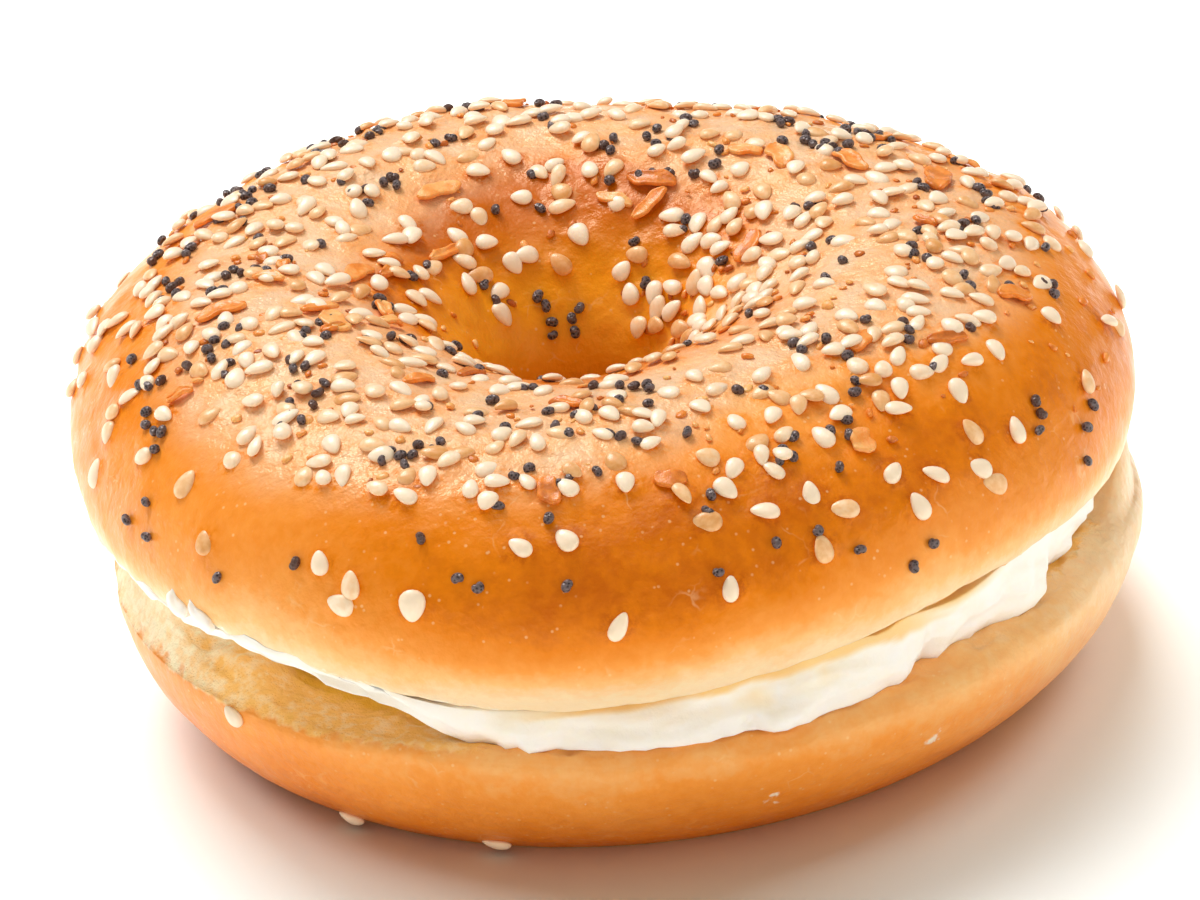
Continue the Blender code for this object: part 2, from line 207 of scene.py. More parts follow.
@dataclass(frozen=True)
class Layer:
    """Lumps that rise and sink by a height: which are drawn, their size and their stretch."""

    height: float
    seed: int
    size: float
    stretch: Size = (1.0, 1.0, 1.0)

    def at(self, points: Array) -> Array:
        """How high the lumps stand at points, three to a row."""
        return self.height * Lumps(self.seed, self.size, self.stretch).at(points)


@dataclass(frozen=True)
class Dots:
    """Round spots that stand a height, or sink where it is below 0, and are level in the middle."""

    height: float
    seed: int
    spacing: float
    share: float
    level: float = 0.9

    def at(self, points: Array) -> Array:
        """How high the spots stand at points, three to a row."""
        near = Spots(self.seed, self.spacing, self.share).at(points)
        return self.height * ramp(near, 0.0, self.level)


Bumps = tuple[Bump, ...]
Layers = tuple[Layer | Dots, ...]


def total(parts: Sequence[Bump | Stretch | Layer | Dots], where: Array, start: float = 0.0) -> Array:
    """What several parts add to a start, at angles in radians or at points."""
    return sum((part.at(where) for part in parts), start)


@dataclass(frozen=True)
class TopForm:
    """The top half's form: the sizes of its solid, and a lift of its edge over the left gap."""

    radius: float = 54.9
    centre: tuple[float, float] = (-1.45, 0.5)
    crest_inset: float = 22.5
    widest_height: float = 27.0
    crest_rise: float = 16.6
    tuck_depth: float = 14.0
    oval: float = 0.008
    oval_angle: float = 104.0
    three_lobes: float = 0.020
    lobe_angle: float = 7.0
    swell_size: float = 0.35
    hole_centre: tuple[float, float] = (-2.4, 0.9)
    hole_radius: float = 7.8
    throat_height: float = 26.5
    hole_roundness: float = 1.05
    shoulder_fall: float = 1.2
    hole_foot: float = 9.4
    cut_height: float = 22.3
    front_dip: Bump = Bump(0.9, -90.0, 80.0)
    back_rise: Bump = Bump(0.7, 35.0, 60.0)
    front_sag: Bump = Bump(4.1, -93.0, 45.0)
    left_lift: Bump = Bump(0.7, -158.0, 40.0)
    gap_lift: Bump = Bump(1.6, -127.0, 20.0)
    right_lift: Bump = Bump(0.6, -42.0, 26.0)

    def outline(self, angle: Array) -> Array:
        """The widest radius.

        Args:
            angle: Round the ring, in radians.

        Returns:
            The radius at each angle.
        """
        oval = self.oval * np.cos(2.0 * (angle - math.radians(self.oval_angle)))
        lobes = self.three_lobes * np.cos(3.0 * (angle - math.radians(self.lobe_angle)))
        return self.radius * (1.0 + oval + lobes)

    def edge_height(self, angle: Array) -> Array:
        """The cut edge's height, which sags at the front and lifts on both sides of it."""
        lift = self.left_lift.at(angle) + self.gap_lift.at(angle) + self.right_lift.at(angle)
        return self.cut_height - self.front_sag.at(angle) + lift

    def face_height(self, plan: Array) -> Array:
        """The cut face's height, level inside and bending to the edge.

        Args:
            plan: Plan positions, two to a row.

        Returns:
            The height at each.
        """
        angle, radius = around(self.centre, plan)
        bend = ramp(radius / self.outline(angle), 0.55, 0.95)
        return self.cut_height + (self.edge_height(angle) - self.cut_height) * bend

    def swell(self, angle: Array, climb: Array) -> Array:
        """The crust's broad unevenness, which dies out at the cut edge and in the hole.

        Args:
            angle: Round the ring, in radians.
            climb: Over the crust, in degrees.

        Returns:
            How far the crust is raised.
        """
        fade = band(climb, (-10.0, 30.0), (130.0, 175.0))
        slope = np.radians(climb)
        long_roll = np.sin(3.0 * angle + 2.0 * slope)
        middle_roll = 0.7 * np.sin(5.0 * angle - 3.0 * slope + 1.0)
        short_roll = 0.5 * np.sin(8.0 * angle + 4.0 * slope + 2.0)
        return self.swell_size * fade * (long_roll + middle_roll + short_roll)

    def point(self, angle: Array, climb: Array) -> Array:
        """Points of the crust, from the cut edge over the crest into the hole.

        Args:
            angle: Round the ring, in radians.
            climb: Over the crust, in degrees.

        Returns:
            The points, three to a row.
        """
        angle, climb = np.broadcast_arrays(np.asarray(angle, float), np.asarray(climb, float))
        slope = np.radians(climb)
        outline = self.outline(angle)
        extra = self.swell(angle, climb)
        crest_rise = self.crest_rise - self.front_dip.at(angle) + self.back_rise.at(angle) + extra
        rise = np.where(climb > 0.0, crest_rise, self.tuck_depth)
        radius = outline - self.crest_inset * (1.0 - np.cos(slope)) + extra * np.cos(slope)
        flank = raised(at(self.centre, angle, radius), self.widest_height + rise * np.sin(slope))
        crest = at(self.centre, angle, outline - self.crest_inset)
        throat = at(self.hole_centre, angle, np.full_like(angle, self.hole_radius))
        plan = between(crest, throat, np.abs(np.cos(slope)) ** self.hole_roundness)
        drop = self.widest_height + crest_rise - self.throat_height
        fall = np.maximum(np.sin(slope), 0.0) ** self.shoulder_fall
        funnel = raised(plan, self.throat_height + drop * fall)
        return np.where((climb > CREST)[..., None], funnel, flank)

    def edge_climb(self, angle: Array) -> Array:
        """The climb, below 0, at which the crust meets the cut face."""
        depth = (self.widest_height - self.edge_height(angle)) / self.tuck_depth
        return -np.degrees(np.arcsin(depth))


@dataclass(frozen=True)
class BottomForm:
    """The bottom half's form, with the sizes of its solid."""

    radius: float = 53.6
    centre: tuple[float, float] = (1.5, -0.1)
    bulge: float = 23.8
    depth: float = 20.4
    widest: float = 16.4
    oval: float = 0.023
    oval_angle: float = 52.0
    cut_height: float = 14.8
    hole_centre: tuple[float, float] = (-2.4, 0.9)
    hole_top: float = 10.2
    hole_foot: float = 13.0
    left_lip: float = 3.5
    left_peak: float = 3.0
    right_lip: float = 5.4
    rim_lift: Bump = Bump(1.6, -12.0, 50.0)
    left_lip_stretch: Stretch = Stretch(-171.0, 35.0, 6.0)
    left_peak_stretch: Stretch = Stretch(-180.0, 28.0, 5.0)
    right_lip_stretch: Stretch = Stretch(9.0, 16.0, 7.0)

    def outline(self, angle: Array) -> Array:
        """The widest radius at angles in radians."""
        return self.radius * (1.0 + self.oval * np.cos(2.0 * (angle - math.radians(self.oval_angle))))

    def rim_height(self, angle: Array) -> Array:
        """The rim's height, which lifts at the right."""
        return self.cut_height + self.rim_lift.at(angle)

    def rim_slope(self, angle: Array) -> Array:
        """How far up its round flank the rim is, in radians."""
        return np.arcsin((self.rim_height(angle) - self.widest) / self.depth)

    def foot_slope(self) -> float:
        """How far down its round flank the crust meets the ground, in radians."""
        return math.asin(-self.widest / self.depth)

    def flank(self, angle: Array, slope: Array) -> Array:
        """Points of the crust at angles and at slopes of the round flank, both in radians."""
        plan = at(self.centre, angle, self.outline(angle) - self.bulge * (1.0 - np.cos(slope)))
        return raised(plan, np.maximum(self.widest + self.depth * np.sin(slope), 0.0))

    def face_height(self, plan: Array) -> Array:
        """The cut face's height: level inside, with a torn lip of crumb at the left and the right.

        Args:
            plan: Plan positions, two to a row.

        Returns:
            The height at each.
        """
        angle, radius = around(self.centre, plan)
        out = radius / self.outline(angle)
        bend = self.rim_lift.at(angle) * ramp(out, 0.55, 0.98)
        left = self.left_lip * self.left_lip_stretch.at(angle)
        left += self.left_peak * self.left_peak_stretch.at(angle)
        lip = left + self.right_lip * self.right_lip_stretch.at(angle)
        return self.cut_height + bend + lip * ramp(out, 0.81, 0.89) * (1.0 - ramp(out, 0.94, 1.0))

    def point(self, angle: Array, climb: Array) -> Array:
        """Points of the crust at angles in radians and at slopes of the round flank in degrees."""
        return self.flank(angle, np.radians(climb))


@dataclass(frozen=True)
class CheeseForm:
    """The cheese layer's form: near the sizes of its solid, but touching both halves."""

    top: TopForm
    bottom: BottomForm
    radius: float = 49.9
    hole: float = 12.4
    bulge: float = 0.6
    inset: float = 0.9
    strip_inset: float = 0.27
    strip_thickness: float = 0.7
    behind_lip: float = 40.5
    edge_zone_start: float = 37.0
    sunk: float = 0.15
    pressed_out: Bumps = (Bump(2.2, -86.0, 48.0), Bump(0.8, -37.0, 16.0), Bump(0.8, -38.0, 4.0))
    held_back: Bumps = (
        Bump(2.0, -50.0, 20.0), Bump(1.5, -27.0, 15.0), Bump(1.2, -8.0, 46.0), Bump(2.0, 90.0, 80.0),
    )
    droops: Bumps = (Bump(1.25, -49.0, 12.0), Bump(0.9, -60.0, 4.0), Bump(1.0, 60.0, 25.0))
    strip: Stretch = Stretch(-160.0, 48.0, 4.0)
    pressed_up: Stretch = Stretch(-155.0, 56.0, 6.0)
    hidden: tuple[Stretch, ...] = (Stretch(-180.0, 29.0, 9.0), Stretch(9.0, 20.0, 6.0))

    def drawn_in(self, angle: Array, radius: Array) -> Array:
        """The edge's radius, drawn in where a lip of crumb stands in front of it."""
        return radius + (self.behind_lip - radius) * total(self.hidden, angle)

    def high_edge(self, angle: Array) -> Array:
        """Where the layer ends under the top half: inside its cut edge, and near it in the strip.

        Args:
            angle: Round the ring, in radians.

        Returns:
            The radius at each angle.
        """
        edge = self.top.point(angle, self.top.edge_climb(angle))
        inset = self.inset + (self.strip_inset - self.inset) * self.pressed_up.at(angle)
        return self.drawn_in(angle, np.hypot(edge[..., 0], edge[..., 1]) - inset)

    def low_edge(self, angle: Array) -> Array:
        """Where the layer ends on the bottom half, except in the strip, where it hangs.

        Args:
            angle: Round the ring, in radians.

        Returns:
            The radius at each angle.
        """
        free = self.radius + total(self.pressed_out, angle) - total(self.held_back, angle)
        free = self.drawn_in(angle, free)
        return free + (self.high_edge(angle) - free) * self.strip.at(angle)

    def edge_zone(self, plan: Array) -> Array:
        """How far out plan positions are in the layer's outer zone, from 0 to 1."""
        return ramp(np.hypot(plan[..., 0], plan[..., 1]), self.edge_zone_start, self.radius)

    def upper(self, angle: Array, plan: Array) -> Array:
        """The height of the upper side, which droops at the right."""
        droop = self.edge_zone(plan) * total(self.droops, angle)
        return self.top.face_height(plan) + self.sunk - droop

    def lower(self, angle: Array, plan: Array) -> Array:
        """The lower side, which is lifted in the strip.

        Args:
            angle: Round the ring, in radians.
            plan: Plan positions, two to a row.

        Returns:
            The height at each.
        """
        floor = self.bottom.face_height(plan) - self.sunk
        strip_floor = self.top.face_height(plan) - self.strip_thickness
        return floor + (strip_floor - floor) * self.strip.at(angle) * self.edge_zone(plan)


def unit(vectors: Array) -> Array:
    """Vectors, three to a row, brought to length 1."""
    return vectors / np.linalg.norm(vectors, axis=-1, keepdims=True)


def directions(form: TopForm | BottomForm, angle: Array, climb: Array) -> tuple[Array, Array]:
    """The ways up a half's crust and out of it.

    Args:
        form: The half's form.
        angle: Round the ring, in radians.
        climb: Over the crust, in degrees.

    Returns:
        Unit vectors up the crust, and unit vectors out of it.
    """
    nearby = 0.5
    turn = math.radians(nearby)
    up = form.point(angle, climb + nearby) - form.point(angle, climb - nearby)
    side = form.point(angle + turn, climb) - form.point(angle - turn, climb)
    return unit(up), unit(np.cross(side, up))


def axes(form: TopForm | BottomForm, angle: float, climb: float, turn: float) -> Array:
    """The ways along, across and out of something small that lies on a half's crust.

    Args:
        form: The half's form.
        angle: Round the ring, in degrees.
        climb: Over the crust, in degrees.
        turn: How far its length is turned from straight up the crust, in degrees.

    Returns:
        Three unit vectors, one to a row.
    """
    up, out = directions(form, np.radians(angle), np.asarray(float(climb)))
    along = up * math.cos(math.radians(turn)) + np.cross(out, up) * math.sin(math.radians(turn))
    return np.array([along, np.cross(out, along), out])


class Half(Enum):
    """The half that a topping lies on."""

    TOP = "top"
    BOTTOM = "bottom"


@dataclass(frozen=True)
class Place:
    """Where a topping lies on the crust, how it is turned and how large it is."""

    angle: float
    climb: float
    turn: float
    size: Size
    rise: float
    tone: float
    lean: float = 0.0
    pitch: float = 0.0
    half: Half = Half.TOP


def set_attribute(piece: Piece, name: str, values: Array) -> None:
    """Keeps a number for each of a mesh's points, for its material to read."""
    layer = piece.data.attributes.new(name, "FLOAT", "POINT")
    layer.data.foreach_set("value", np.asarray(values, np.float32))


def set_points(piece: Piece, points: Array) -> None:
    """Moves a mesh's points to new places in millimetres."""
    piece.data.vertices.foreach_set("co", (points * MM).astype(np.float32).ravel())
    piece.data.update()


def hand_in(piece: Piece, material: bpy.types.Material, node: str | None) -> Piece:
    """Dresses a piece, rides it on the sandwich's one body and hides the solid that it replaces.

    Args:
        piece: The piece.
        material: What it is made of.
        node: The solid that it replaces, or None.

    Returns:
        The piece.
    """
    piece.data.materials.append(material)
    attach(piece, "root")
    if node is not None:
        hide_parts(node)
    return piece


@dataclass
class Ring:
    """A closed ring mesh, whose cross-section has the same steps all the way round."""

    name: str
    around: int
    steps: int
    piece: Piece = field(init=False)
    angle: Array = field(init=False)
    step: Array = field(init=False)

    def __post_init__(self) -> None:
        """Makes a torus and reads each point's angle and step over the section."""
        bpy.ops.mesh.primitive_torus_add(
            major_segments=self.around, minor_segments=self.steps, major_radius=1.0, minor_radius=0.5
        )
        self.piece = bpy.context.object
        self.piece.name = self.name
        self.piece.data.name = self.name
        co = np.empty(len(self.piece.data.vertices) * 3, np.float32)
        self.piece.data.vertices.foreach_get("co", co)
        x, y, z = co.reshape(-1, 3).T.astype(float)
        self.angle = np.arctan2(y, x)
        turn = np.arctan2(z, np.hypot(x, y) - 1.0) % math.tau
        self.step = np.rint(turn / math.tau * self.steps).astype(int) % self.steps

    def shape(self, points: Array) -> None:
        """Moves the ring's points to their places in millimetres, and shades it smooth."""
        set_points(self.piece, points)
        self.piece.data.shade_smooth()

    def keep(self, **numbers: Array) -> None:
        """Keeps numbers for each of the ring's points, by name, for its material to read."""
        for name, values in numbers.items():
            set_attribute(self.piece, name, values)


class Recipe:
    """A material's nodes, with a short way to add each kind that the finishes use."""

    def __init__(self, name: str) -> None:
        """Starts a material that has only its shader.

        Args:
            name: The material's name.
        """
        self.material = bpy.data.materials.new(name)
        self.material.use_nodes = True
        self.tree = self.material.node_tree
        self.shader = self.tree.nodes["Principled BSDF"]
        self.place = self.tree.nodes.new("ShaderNodeTexCoord").outputs["Object"]

    def feed(self, socket: Socket, value: object) -> None:
        """Links another node's output to a socket, or sets the socket's own value.

        Args:
            socket: The socket.
            value: The output, number or colour.
        """
        if isinstance(value, Socket):
            self.tree.links.new(value, socket)
        elif isinstance(value, tuple) and len(value) == 3 and socket.type == "RGBA":
            socket.default_value = (*value, 1.0)
        else:
            socket.default_value = value

    def attribute(self, name: str) -> Socket:
        """A number kept on the mesh's points.

        Args:
            name: The number's name.

        Returns:
            Its socket.
        """
        node = self.tree.nodes.new("ShaderNodeAttribute")
        node.attribute_name = name
        return node.outputs["Fac"]

    def noise(self, size: float, detail: float = 3.0, roughness: float = 0.55) -> Socket:
        """Soft random patches, from about 0.2 to 0.8.

        Args:
            size: How large the patches are, in millimetres.
            detail: How many finer layers they have.
            roughness: How strong the finer layers are.

        Returns:
            The patches' value.
        """
        node = self.tree.nodes.new("ShaderNodeTexNoise")
        self.feed(node.inputs["Vector"], self.place)
        node.inputs["Scale"].default_value = 1.0 / (size * MM)
        node.inputs["Detail"].default_value = detail
        node.inputs["Roughness"].default_value = roughness
        return node.outputs["Fac"]

    def blotches(
        self, size: float, low: float = 0.0, high: float = 1.0, detail: float = 3.0,
        roughness: float = 0.55, edges: Range = (0.3, 0.7),
    ) -> Socket:
        """Noise of a size in millimetres, whose values between two edges are spread from low to high."""
        return self.spread(self.noise(size, detail, roughness), *edges, low, high)

    def cells(self, size: float, feature: str = "F1", wobble: float = 0.0) -> dict[str, Socket]:
        """Random cells, by their distance and their random colour.

        Args:
            size: How large the cells are, in millimetres.
            feature: F1 for the distance to a cell's middle, DISTANCE_TO_EDGE for that to its edge.
            wobble: How far the cells are bent, in millimetres.

        Returns:
            The outputs of the node by name.
        """
        node = self.tree.nodes.new("ShaderNodeTexVoronoi")
        node.feature = feature
        node.inputs["Scale"].default_value = 1.0 / (size * MM)
        place = self.place
        if wobble:
            bend = self.tree.nodes.new("ShaderNodeTexNoise")
            self.feed(bend.inputs["Vector"], self.place)
            bend.inputs["Scale"].default_value = 1.0 / (0.6 * size * MM)
            shift = self.tree.nodes.new("ShaderNodeVectorMath")
            shift.operation = "MULTIPLY_ADD"
            self.feed(shift.inputs[0], bend.outputs["Color"])
            shift.inputs[1].default_value = (wobble * MM,) * 3
            self.feed(shift.inputs[2], self.place)
            place = shift.outputs[0]
        self.feed(node.inputs["Vector"], place)
        return dict(node.outputs.items())

    def plus(self, first: object, second: object) -> Socket:
        """Two numbers added up, each a socket or a number."""
        return self.maths("ADD", first, second)

    def times(self, first: object, second: object) -> Socket:
        """Two numbers multiplied, each a socket or a number."""
        return self.maths("MULTIPLY", first, second)

    def maths(self, operation: str, first: object, second: object, clamp: bool = False) -> Socket:
        """One sum on two numbers.

        Args:
            operation: The Math node's name for it.
            first: A socket or a number.
            second: A socket or a number.
            clamp: Whether the result is kept from 0 to 1.

        Returns:
            The result.
        """
        node = self.tree.nodes.new("ShaderNodeMath")
        node.operation = operation
        node.use_clamp = clamp
        self.feed(node.inputs[0], first)
        self.feed(node.inputs[1], second)
        return node.outputs[0]

    def spread(
        self, value: object, low: float, high: float, to_low: float = 0.0, to_high: float = 1.0
    ) -> Socket:
        """A number moved from one range to another, and kept inside it.

        Args:
            value: The number's socket.
            low: Where the first range starts.
            high: Where it ends.
            to_low: Where the second range starts.
            to_high: Where it ends.

        Returns:
            The moved number.
        """
        node = self.tree.nodes.new("ShaderNodeMapRange")
        node.interpolation_type = "SMOOTHSTEP"
        self.feed(node.inputs["Value"], value)
        node.inputs["From Min"].default_value = low
        node.inputs["From Max"].default_value = high
        node.inputs["To Min"].default_value = to_low
        node.inputs["To Max"].default_value = to_high
        return node.outputs["Result"]

    def shades(self, value: object, stops: Sequence[tuple[float, Color]]) -> Socket:
        """A colour for a number, from stops along a ramp.

        Args:
            value: The number's socket.
            stops: Each stop's place from 0 to 1, and its colour.

        Returns:
            The colour.
        """
        node = self.tree.nodes.new("ShaderNodeValToRGB")
        elements = node.color_ramp.elements
        while len(elements) < len(stops):
            elements.new(0.5)
        for element, (place, color) in zip(elements, stops):
            element.position = place
            element.color = (*color, 1.0)
        self.feed(node.inputs["Fac"], value)
        return node.outputs["Color"]

    def mix(self, share: object, first: object, second: object) -> Socket:
        """Two colours mixed.

        Args:
            share: How much of the second, a socket or a number.
            first: The first colour or its socket.
            second: The second colour or its socket.

        Returns:
            The mixed colour.
        """
        node = self.tree.nodes.new("ShaderNodeMix")
        node.data_type = "RGBA"
        self.feed(node.inputs["Factor"], share)
        self.feed(node.inputs[6], first)
        self.feed(node.inputs[7], second)
        return node.outputs[2]

    def relief(self, height: object, depth: float, under: object = None) -> Socket:
        """Fine relief for the shading.

        Args:
            height: The relief's height from 0 to 1.
            depth: What 1 is, in millimetres.
            under: Another relief that this one lies on.

        Returns:
            The normal.
        """
        node = self.tree.nodes.new("ShaderNodeBump")
        node.inputs["Distance"].default_value = depth * MM
        node.inputs["Strength"].default_value = 1.0
        self.feed(node.inputs["Height"], height)
        if under is not None:
            self.feed(node.inputs["Normal"], under)
        return node.outputs["Normal"]

    def finish(
        self, color: object, roughness: object, normal: object, **fixed: object
    ) -> bpy.types.Material:
        """Feeds the shader.

        Args:
            color: The base colour or its socket.
            roughness: The roughness or its socket.
            normal: The normal's socket.
            fixed: The shader's other sockets by name, with _ for a space, and their set values.

        Returns:
            The finished material.
        """
        self.feed(self.shader.inputs["Base Color"], color)
        self.feed(self.shader.inputs["Roughness"], roughness)
        self.feed(self.shader.inputs["Normal"], normal)
        for name, value in fixed.items():
            self.feed(self.shader.inputs[name.replace("_", " ")], value)
        return self.material


@dataclass(frozen=True)
class BreadFinish:
    """Baked crust, from pale dough to amber, and open crumb where the bread is cut."""

    name: str
    dough: Color = (0.96, 0.74, 0.46)
    straw: Color = (0.95, 0.54, 0.21)
    gold: Color = (0.93, 0.34, 0.055)
    amber: Color = (0.81, 0.22, 0.002)
    brown: Color = (0.58, 0.125, 0.001)
    # The blush is a pink on the crown that is partly painted sheen.
    blush: Color = (0.86, 0.60, 0.39)
    honey: Color = (0.90, 0.35, 0.004)
    smear: Color = (0.97, 0.89, 0.74)
    crumb_light: Color = (1.0, 0.86, 0.60)
    crumb_warm: Color = (1.0, 0.55, 0.16)
    # crumb_in_shade is painted shade, for crumb deep in the gap.
    crumb_in_shade: Color = (0.87, 0.45, 0.05)
    blister: Color = (0.97, 0.66, 0.34)
    bake_stops: tuple[float, ...] = (0.02, 0.24, 0.5, 0.8, 1.0)
    # The seed beds' darkening is partly a real stain and partly painted shade round the seeds.
    seed_stain_and_shade_bake: float = 0.28
    stain_over_blush: float = 0.75
    blister_spacing: float = 1.15
    crackle_size: float = 3.4
    crackle_wobble: float = 2.0
    speck_strength: float = 0.46
    # pore_depth darkens the pores in colour, painted shade in their hollows.
    pore_depth: float = 0.3
    crumb_relief: float = 0.28
    skin_relief: float = 0.5

    def crust(self, recipe: Recipe) -> Socket:
        """The crust's colour, by how far it is baked, with specks, crackle, a blush that is partly
        painted sheen, and seed beds that are partly stain and partly painted shade.

        Args:
            recipe: The material's recipe.

        Returns:
            The colour.
        """
        uneven = recipe.plus(recipe.blotches(9.0, -0.06, 0.06), recipe.blotches(1.3, -0.04, 0.04))
        baked = recipe.plus(recipe.attribute("bake"), uneven)
        grainy = recipe.blotches(0.9, roughness=0.7, edges=(0.35, 0.7))
        # Round the seeds the crust darkens, partly a stain and partly painted shade.
        seed_stain_and_shade = recipe.times(recipe.attribute("bed"), grainy)
        baked = recipe.plus(baked, recipe.times(seed_stain_and_shade, self.seed_stain_and_shade_bake))
        colors = (self.dough, self.straw, self.gold, self.amber, self.brown)
        color = recipe.shades(baked, tuple(zip(self.bake_stops, colors)))
        # The pink blush is partly painted sheen; the seed beds' stain and shade partly hide it.
        hidden = recipe.times(seed_stain_and_shade, self.stain_over_blush)
        blush_and_sheen_share = recipe.maths("SUBTRACT", recipe.attribute("blush"), hidden, clamp=True)
        faded = recipe.blotches(4.5, 0.42, 0.86, roughness=0.6, edges=(0.34, 0.66))
        color = recipe.mix(recipe.times(blush_and_sheen_share, faded), color, self.blush)
        color = recipe.mix(recipe.attribute("honey"), color, self.honey)
        color = recipe.mix(self.specks(recipe), color, self.blister)
        ragged = recipe.blotches(1.2, -0.5, 0.5, edges=(0.2, 0.8))
        smeared = recipe.spread(recipe.plus(recipe.attribute("smear"), ragged), 0.3, 0.7, 0.0, 0.9)
        return recipe.mix(smeared, color, self.smear)

    def specks(self, recipe: Recipe) -> Socket:
        """Where fine pale blisters and crackle lines show.

        Args:
            recipe: The material's recipe.

        Returns:
            Their share, from 0 to 1.
        """
        dots = recipe.spread(recipe.cells(self.blister_spacing)["Distance"], 0.07, 0.20, 1.0, 0.0)
        dots = recipe.times(dots, recipe.blotches(2.5, detail=1.0, edges=(0.46, 0.60)))
        edges = recipe.cells(self.crackle_size, "DISTANCE_TO_EDGE", self.crackle_wobble)["Distance"]
        lines = recipe.spread(edges, 0.0, 0.05, 0.6, 0.0)
        lines = recipe.times(lines, recipe.blotches(7.0, detail=2.0, edges=(0.60, 0.70)))
        return recipe.times(recipe.maths("MAXIMUM", dots, lines), self.speck_strength)

    def crumb(self, recipe: Recipe) -> Socket:
        """The crumb's colour, warmer in its pores and ochre deep in the gap, both painted shade.

        Args:
            recipe: The material's recipe.

        Returns:
            The colour.
        """
        patches = recipe.blotches(1.4, -0.14, 0.14, roughness=0.6)
        # Pores and the gap are darkened, painted shade.
        pores = recipe.times(recipe.attribute("pore"), self.pore_depth)
        depth = recipe.plus(recipe.attribute("depth"), recipe.plus(patches, pores))
        stops = ((0.05, self.crumb_light), (0.5, self.crumb_warm), (1.0, self.crumb_in_shade))
        return recipe.shades(depth, stops)

    def material(self) -> bpy.types.Material:
        """Makes the material.

        Returns:
            The material.
        """
        recipe = Recipe(self.name)
        torn = recipe.blotches(1.6, -0.26, 0.26, edges=(0.2, 0.8))
        cut = recipe.spread(recipe.plus(recipe.attribute("crumb"), torn), 0.30, 0.70)
        color = recipe.mix(cut, self.crust(recipe), self.crumb(recipe))
        open_crumb = recipe.noise(0.8, 3.0, 0.7)
        normal = recipe.relief(recipe.times(open_crumb, cut), self.crumb_relief)
        pimpled = recipe.plus(recipe.times(recipe.attribute("blush"), 0.6), 0.4)
        pimples = recipe.times(recipe.noise(1.5, 3.0, 0.6), pimpled)
        normal = recipe.relief(pimples, self.skin_relief, normal)
        sheen = recipe.blotches(3.0, 0.28, 0.42, detail=2.0)
        roughness = recipe.maths("ADD", sheen, recipe.times(cut, 0.45), clamp=True)
        return recipe.finish(
            color, roughness, normal,
            Subsurface_Weight=0.1, Subsurface_Radius=(1.0, 0.45, 0.16), Subsurface_Scale=1.6 * MM,
            Specular_IOR_Level=0.42, Specular_Tint=(1.0, 0.78, 0.48, 1.0),
        )


@dataclass(frozen=True)
class CheeseFinish:
    """Fresh cream cheese, near white, with faint knife streaks, crumb showing through, and painted ochre
    shade in its slots and along its top edge.
    """

    name: str = "cream_cheese_spread"
    white: Color = (0.99, 0.975, 0.935)
    cream: Color = (0.98, 0.90, 0.74)
    # This ochre tints crumb seen through thin cheese, and is painted shade in the slots and along the
    # top edge.
    crumb_and_shade_tint: Color = (0.93, 0.63, 0.23)

    def material(self) -> bpy.types.Material:
        """Makes the material.

        Returns:
            The material.
        """
        recipe = Recipe(self.name)
        clouds = recipe.blotches(4.0, edges=(0.35, 0.7))
        color = recipe.mix(recipe.times(clouds, 0.4), self.white, self.cream)
        # The tone mixes in crumb seen through thin cheese and painted ochre shade.
        color = recipe.mix(recipe.attribute("tone"), color, self.crumb_and_shade_tint)
        normal = recipe.relief(recipe.noise(1.5, 3.0), 0.12)
        normal = recipe.relief(recipe.noise(0.4, 2.0), 0.03, normal)
        roughness = recipe.blotches(2.0, 0.34, 0.5, detail=2.0)
        depth = recipe.spread(recipe.attribute("thin"), 0.0, 1.0, 0.35, 0.05)
        return recipe.finish(
            color, roughness, normal,
            Subsurface_Weight=depth, Subsurface_Radius=(1.0, 0.85, 0.6), Subsurface_Scale=1.5 * MM,
            Specular_IOR_Level=0.4,
        )


@dataclass(frozen=True)
class SesameFinish:
    """Hulled sesame, ivory and a little see-through, some of it toasted."""

    name: str = "sesame_hull"
    ivory: Color = (0.98, 0.80, 0.61)
    straw: Color = (0.93, 0.58, 0.30)
    toasted: Color = (0.76, 0.36, 0.11)

    def material(self) -> bpy.types.Material:
        """Makes the material.

        Returns:
            The material.
        """
        recipe = Recipe(self.name)
        tone = recipe.plus(recipe.attribute("tone"), recipe.blotches(0.9, -0.08, 0.08, detail=2.0))
        stops = ((0.0, self.ivory), (0.45, self.ivory), (0.75, self.straw), (1.0, self.toasted))
        color = recipe.shades(tone, stops)
        color = recipe.mix(recipe.times(recipe.attribute("rim"), 0.45), color, self.straw)
        normal = recipe.relief(recipe.noise(0.3, 2.0), 0.03)
        return recipe.finish(
            color, 0.36, normal,
            Subsurface_Weight=0.15, Subsurface_Radius=(1.0, 0.7, 0.4), Subsurface_Scale=0.8 * MM,
            Specular_IOR_Level=0.45, Coat_Weight=0.1, Coat_Roughness=0.2,
        )


@dataclass(frozen=True)
class PoppyFinish:
    """Poppy seeds, slate blue and black, with a fine net of ridges."""

    name: str = "poppy_hull"
    slate: Color = (0.150, 0.115, 0.120)
    black: Color = (0.012, 0.008, 0.012)
    brown: Color = (0.10, 0.045, 0.030)

    def material(self) -> bpy.types.Material:
        """Makes the material.

        Returns:
            The material.
        """
        recipe = Recipe(self.name)
        pits = recipe.cells(0.30)["Distance"]
        color = recipe.mix(recipe.spread(pits, 0.15, 0.6), self.black, self.slate)
        browned = recipe.spread(recipe.attribute("tone"), 0.7, 1.0, 0.0, 0.8)
        color = recipe.mix(browned, color, self.brown)
        normal = recipe.relief(pits, 0.16)
        return recipe.finish(
            color, 0.34, normal, Specular_IOR_Level=0.45, Specular_Tint=(1.0, 0.88, 0.84, 1.0)
        )


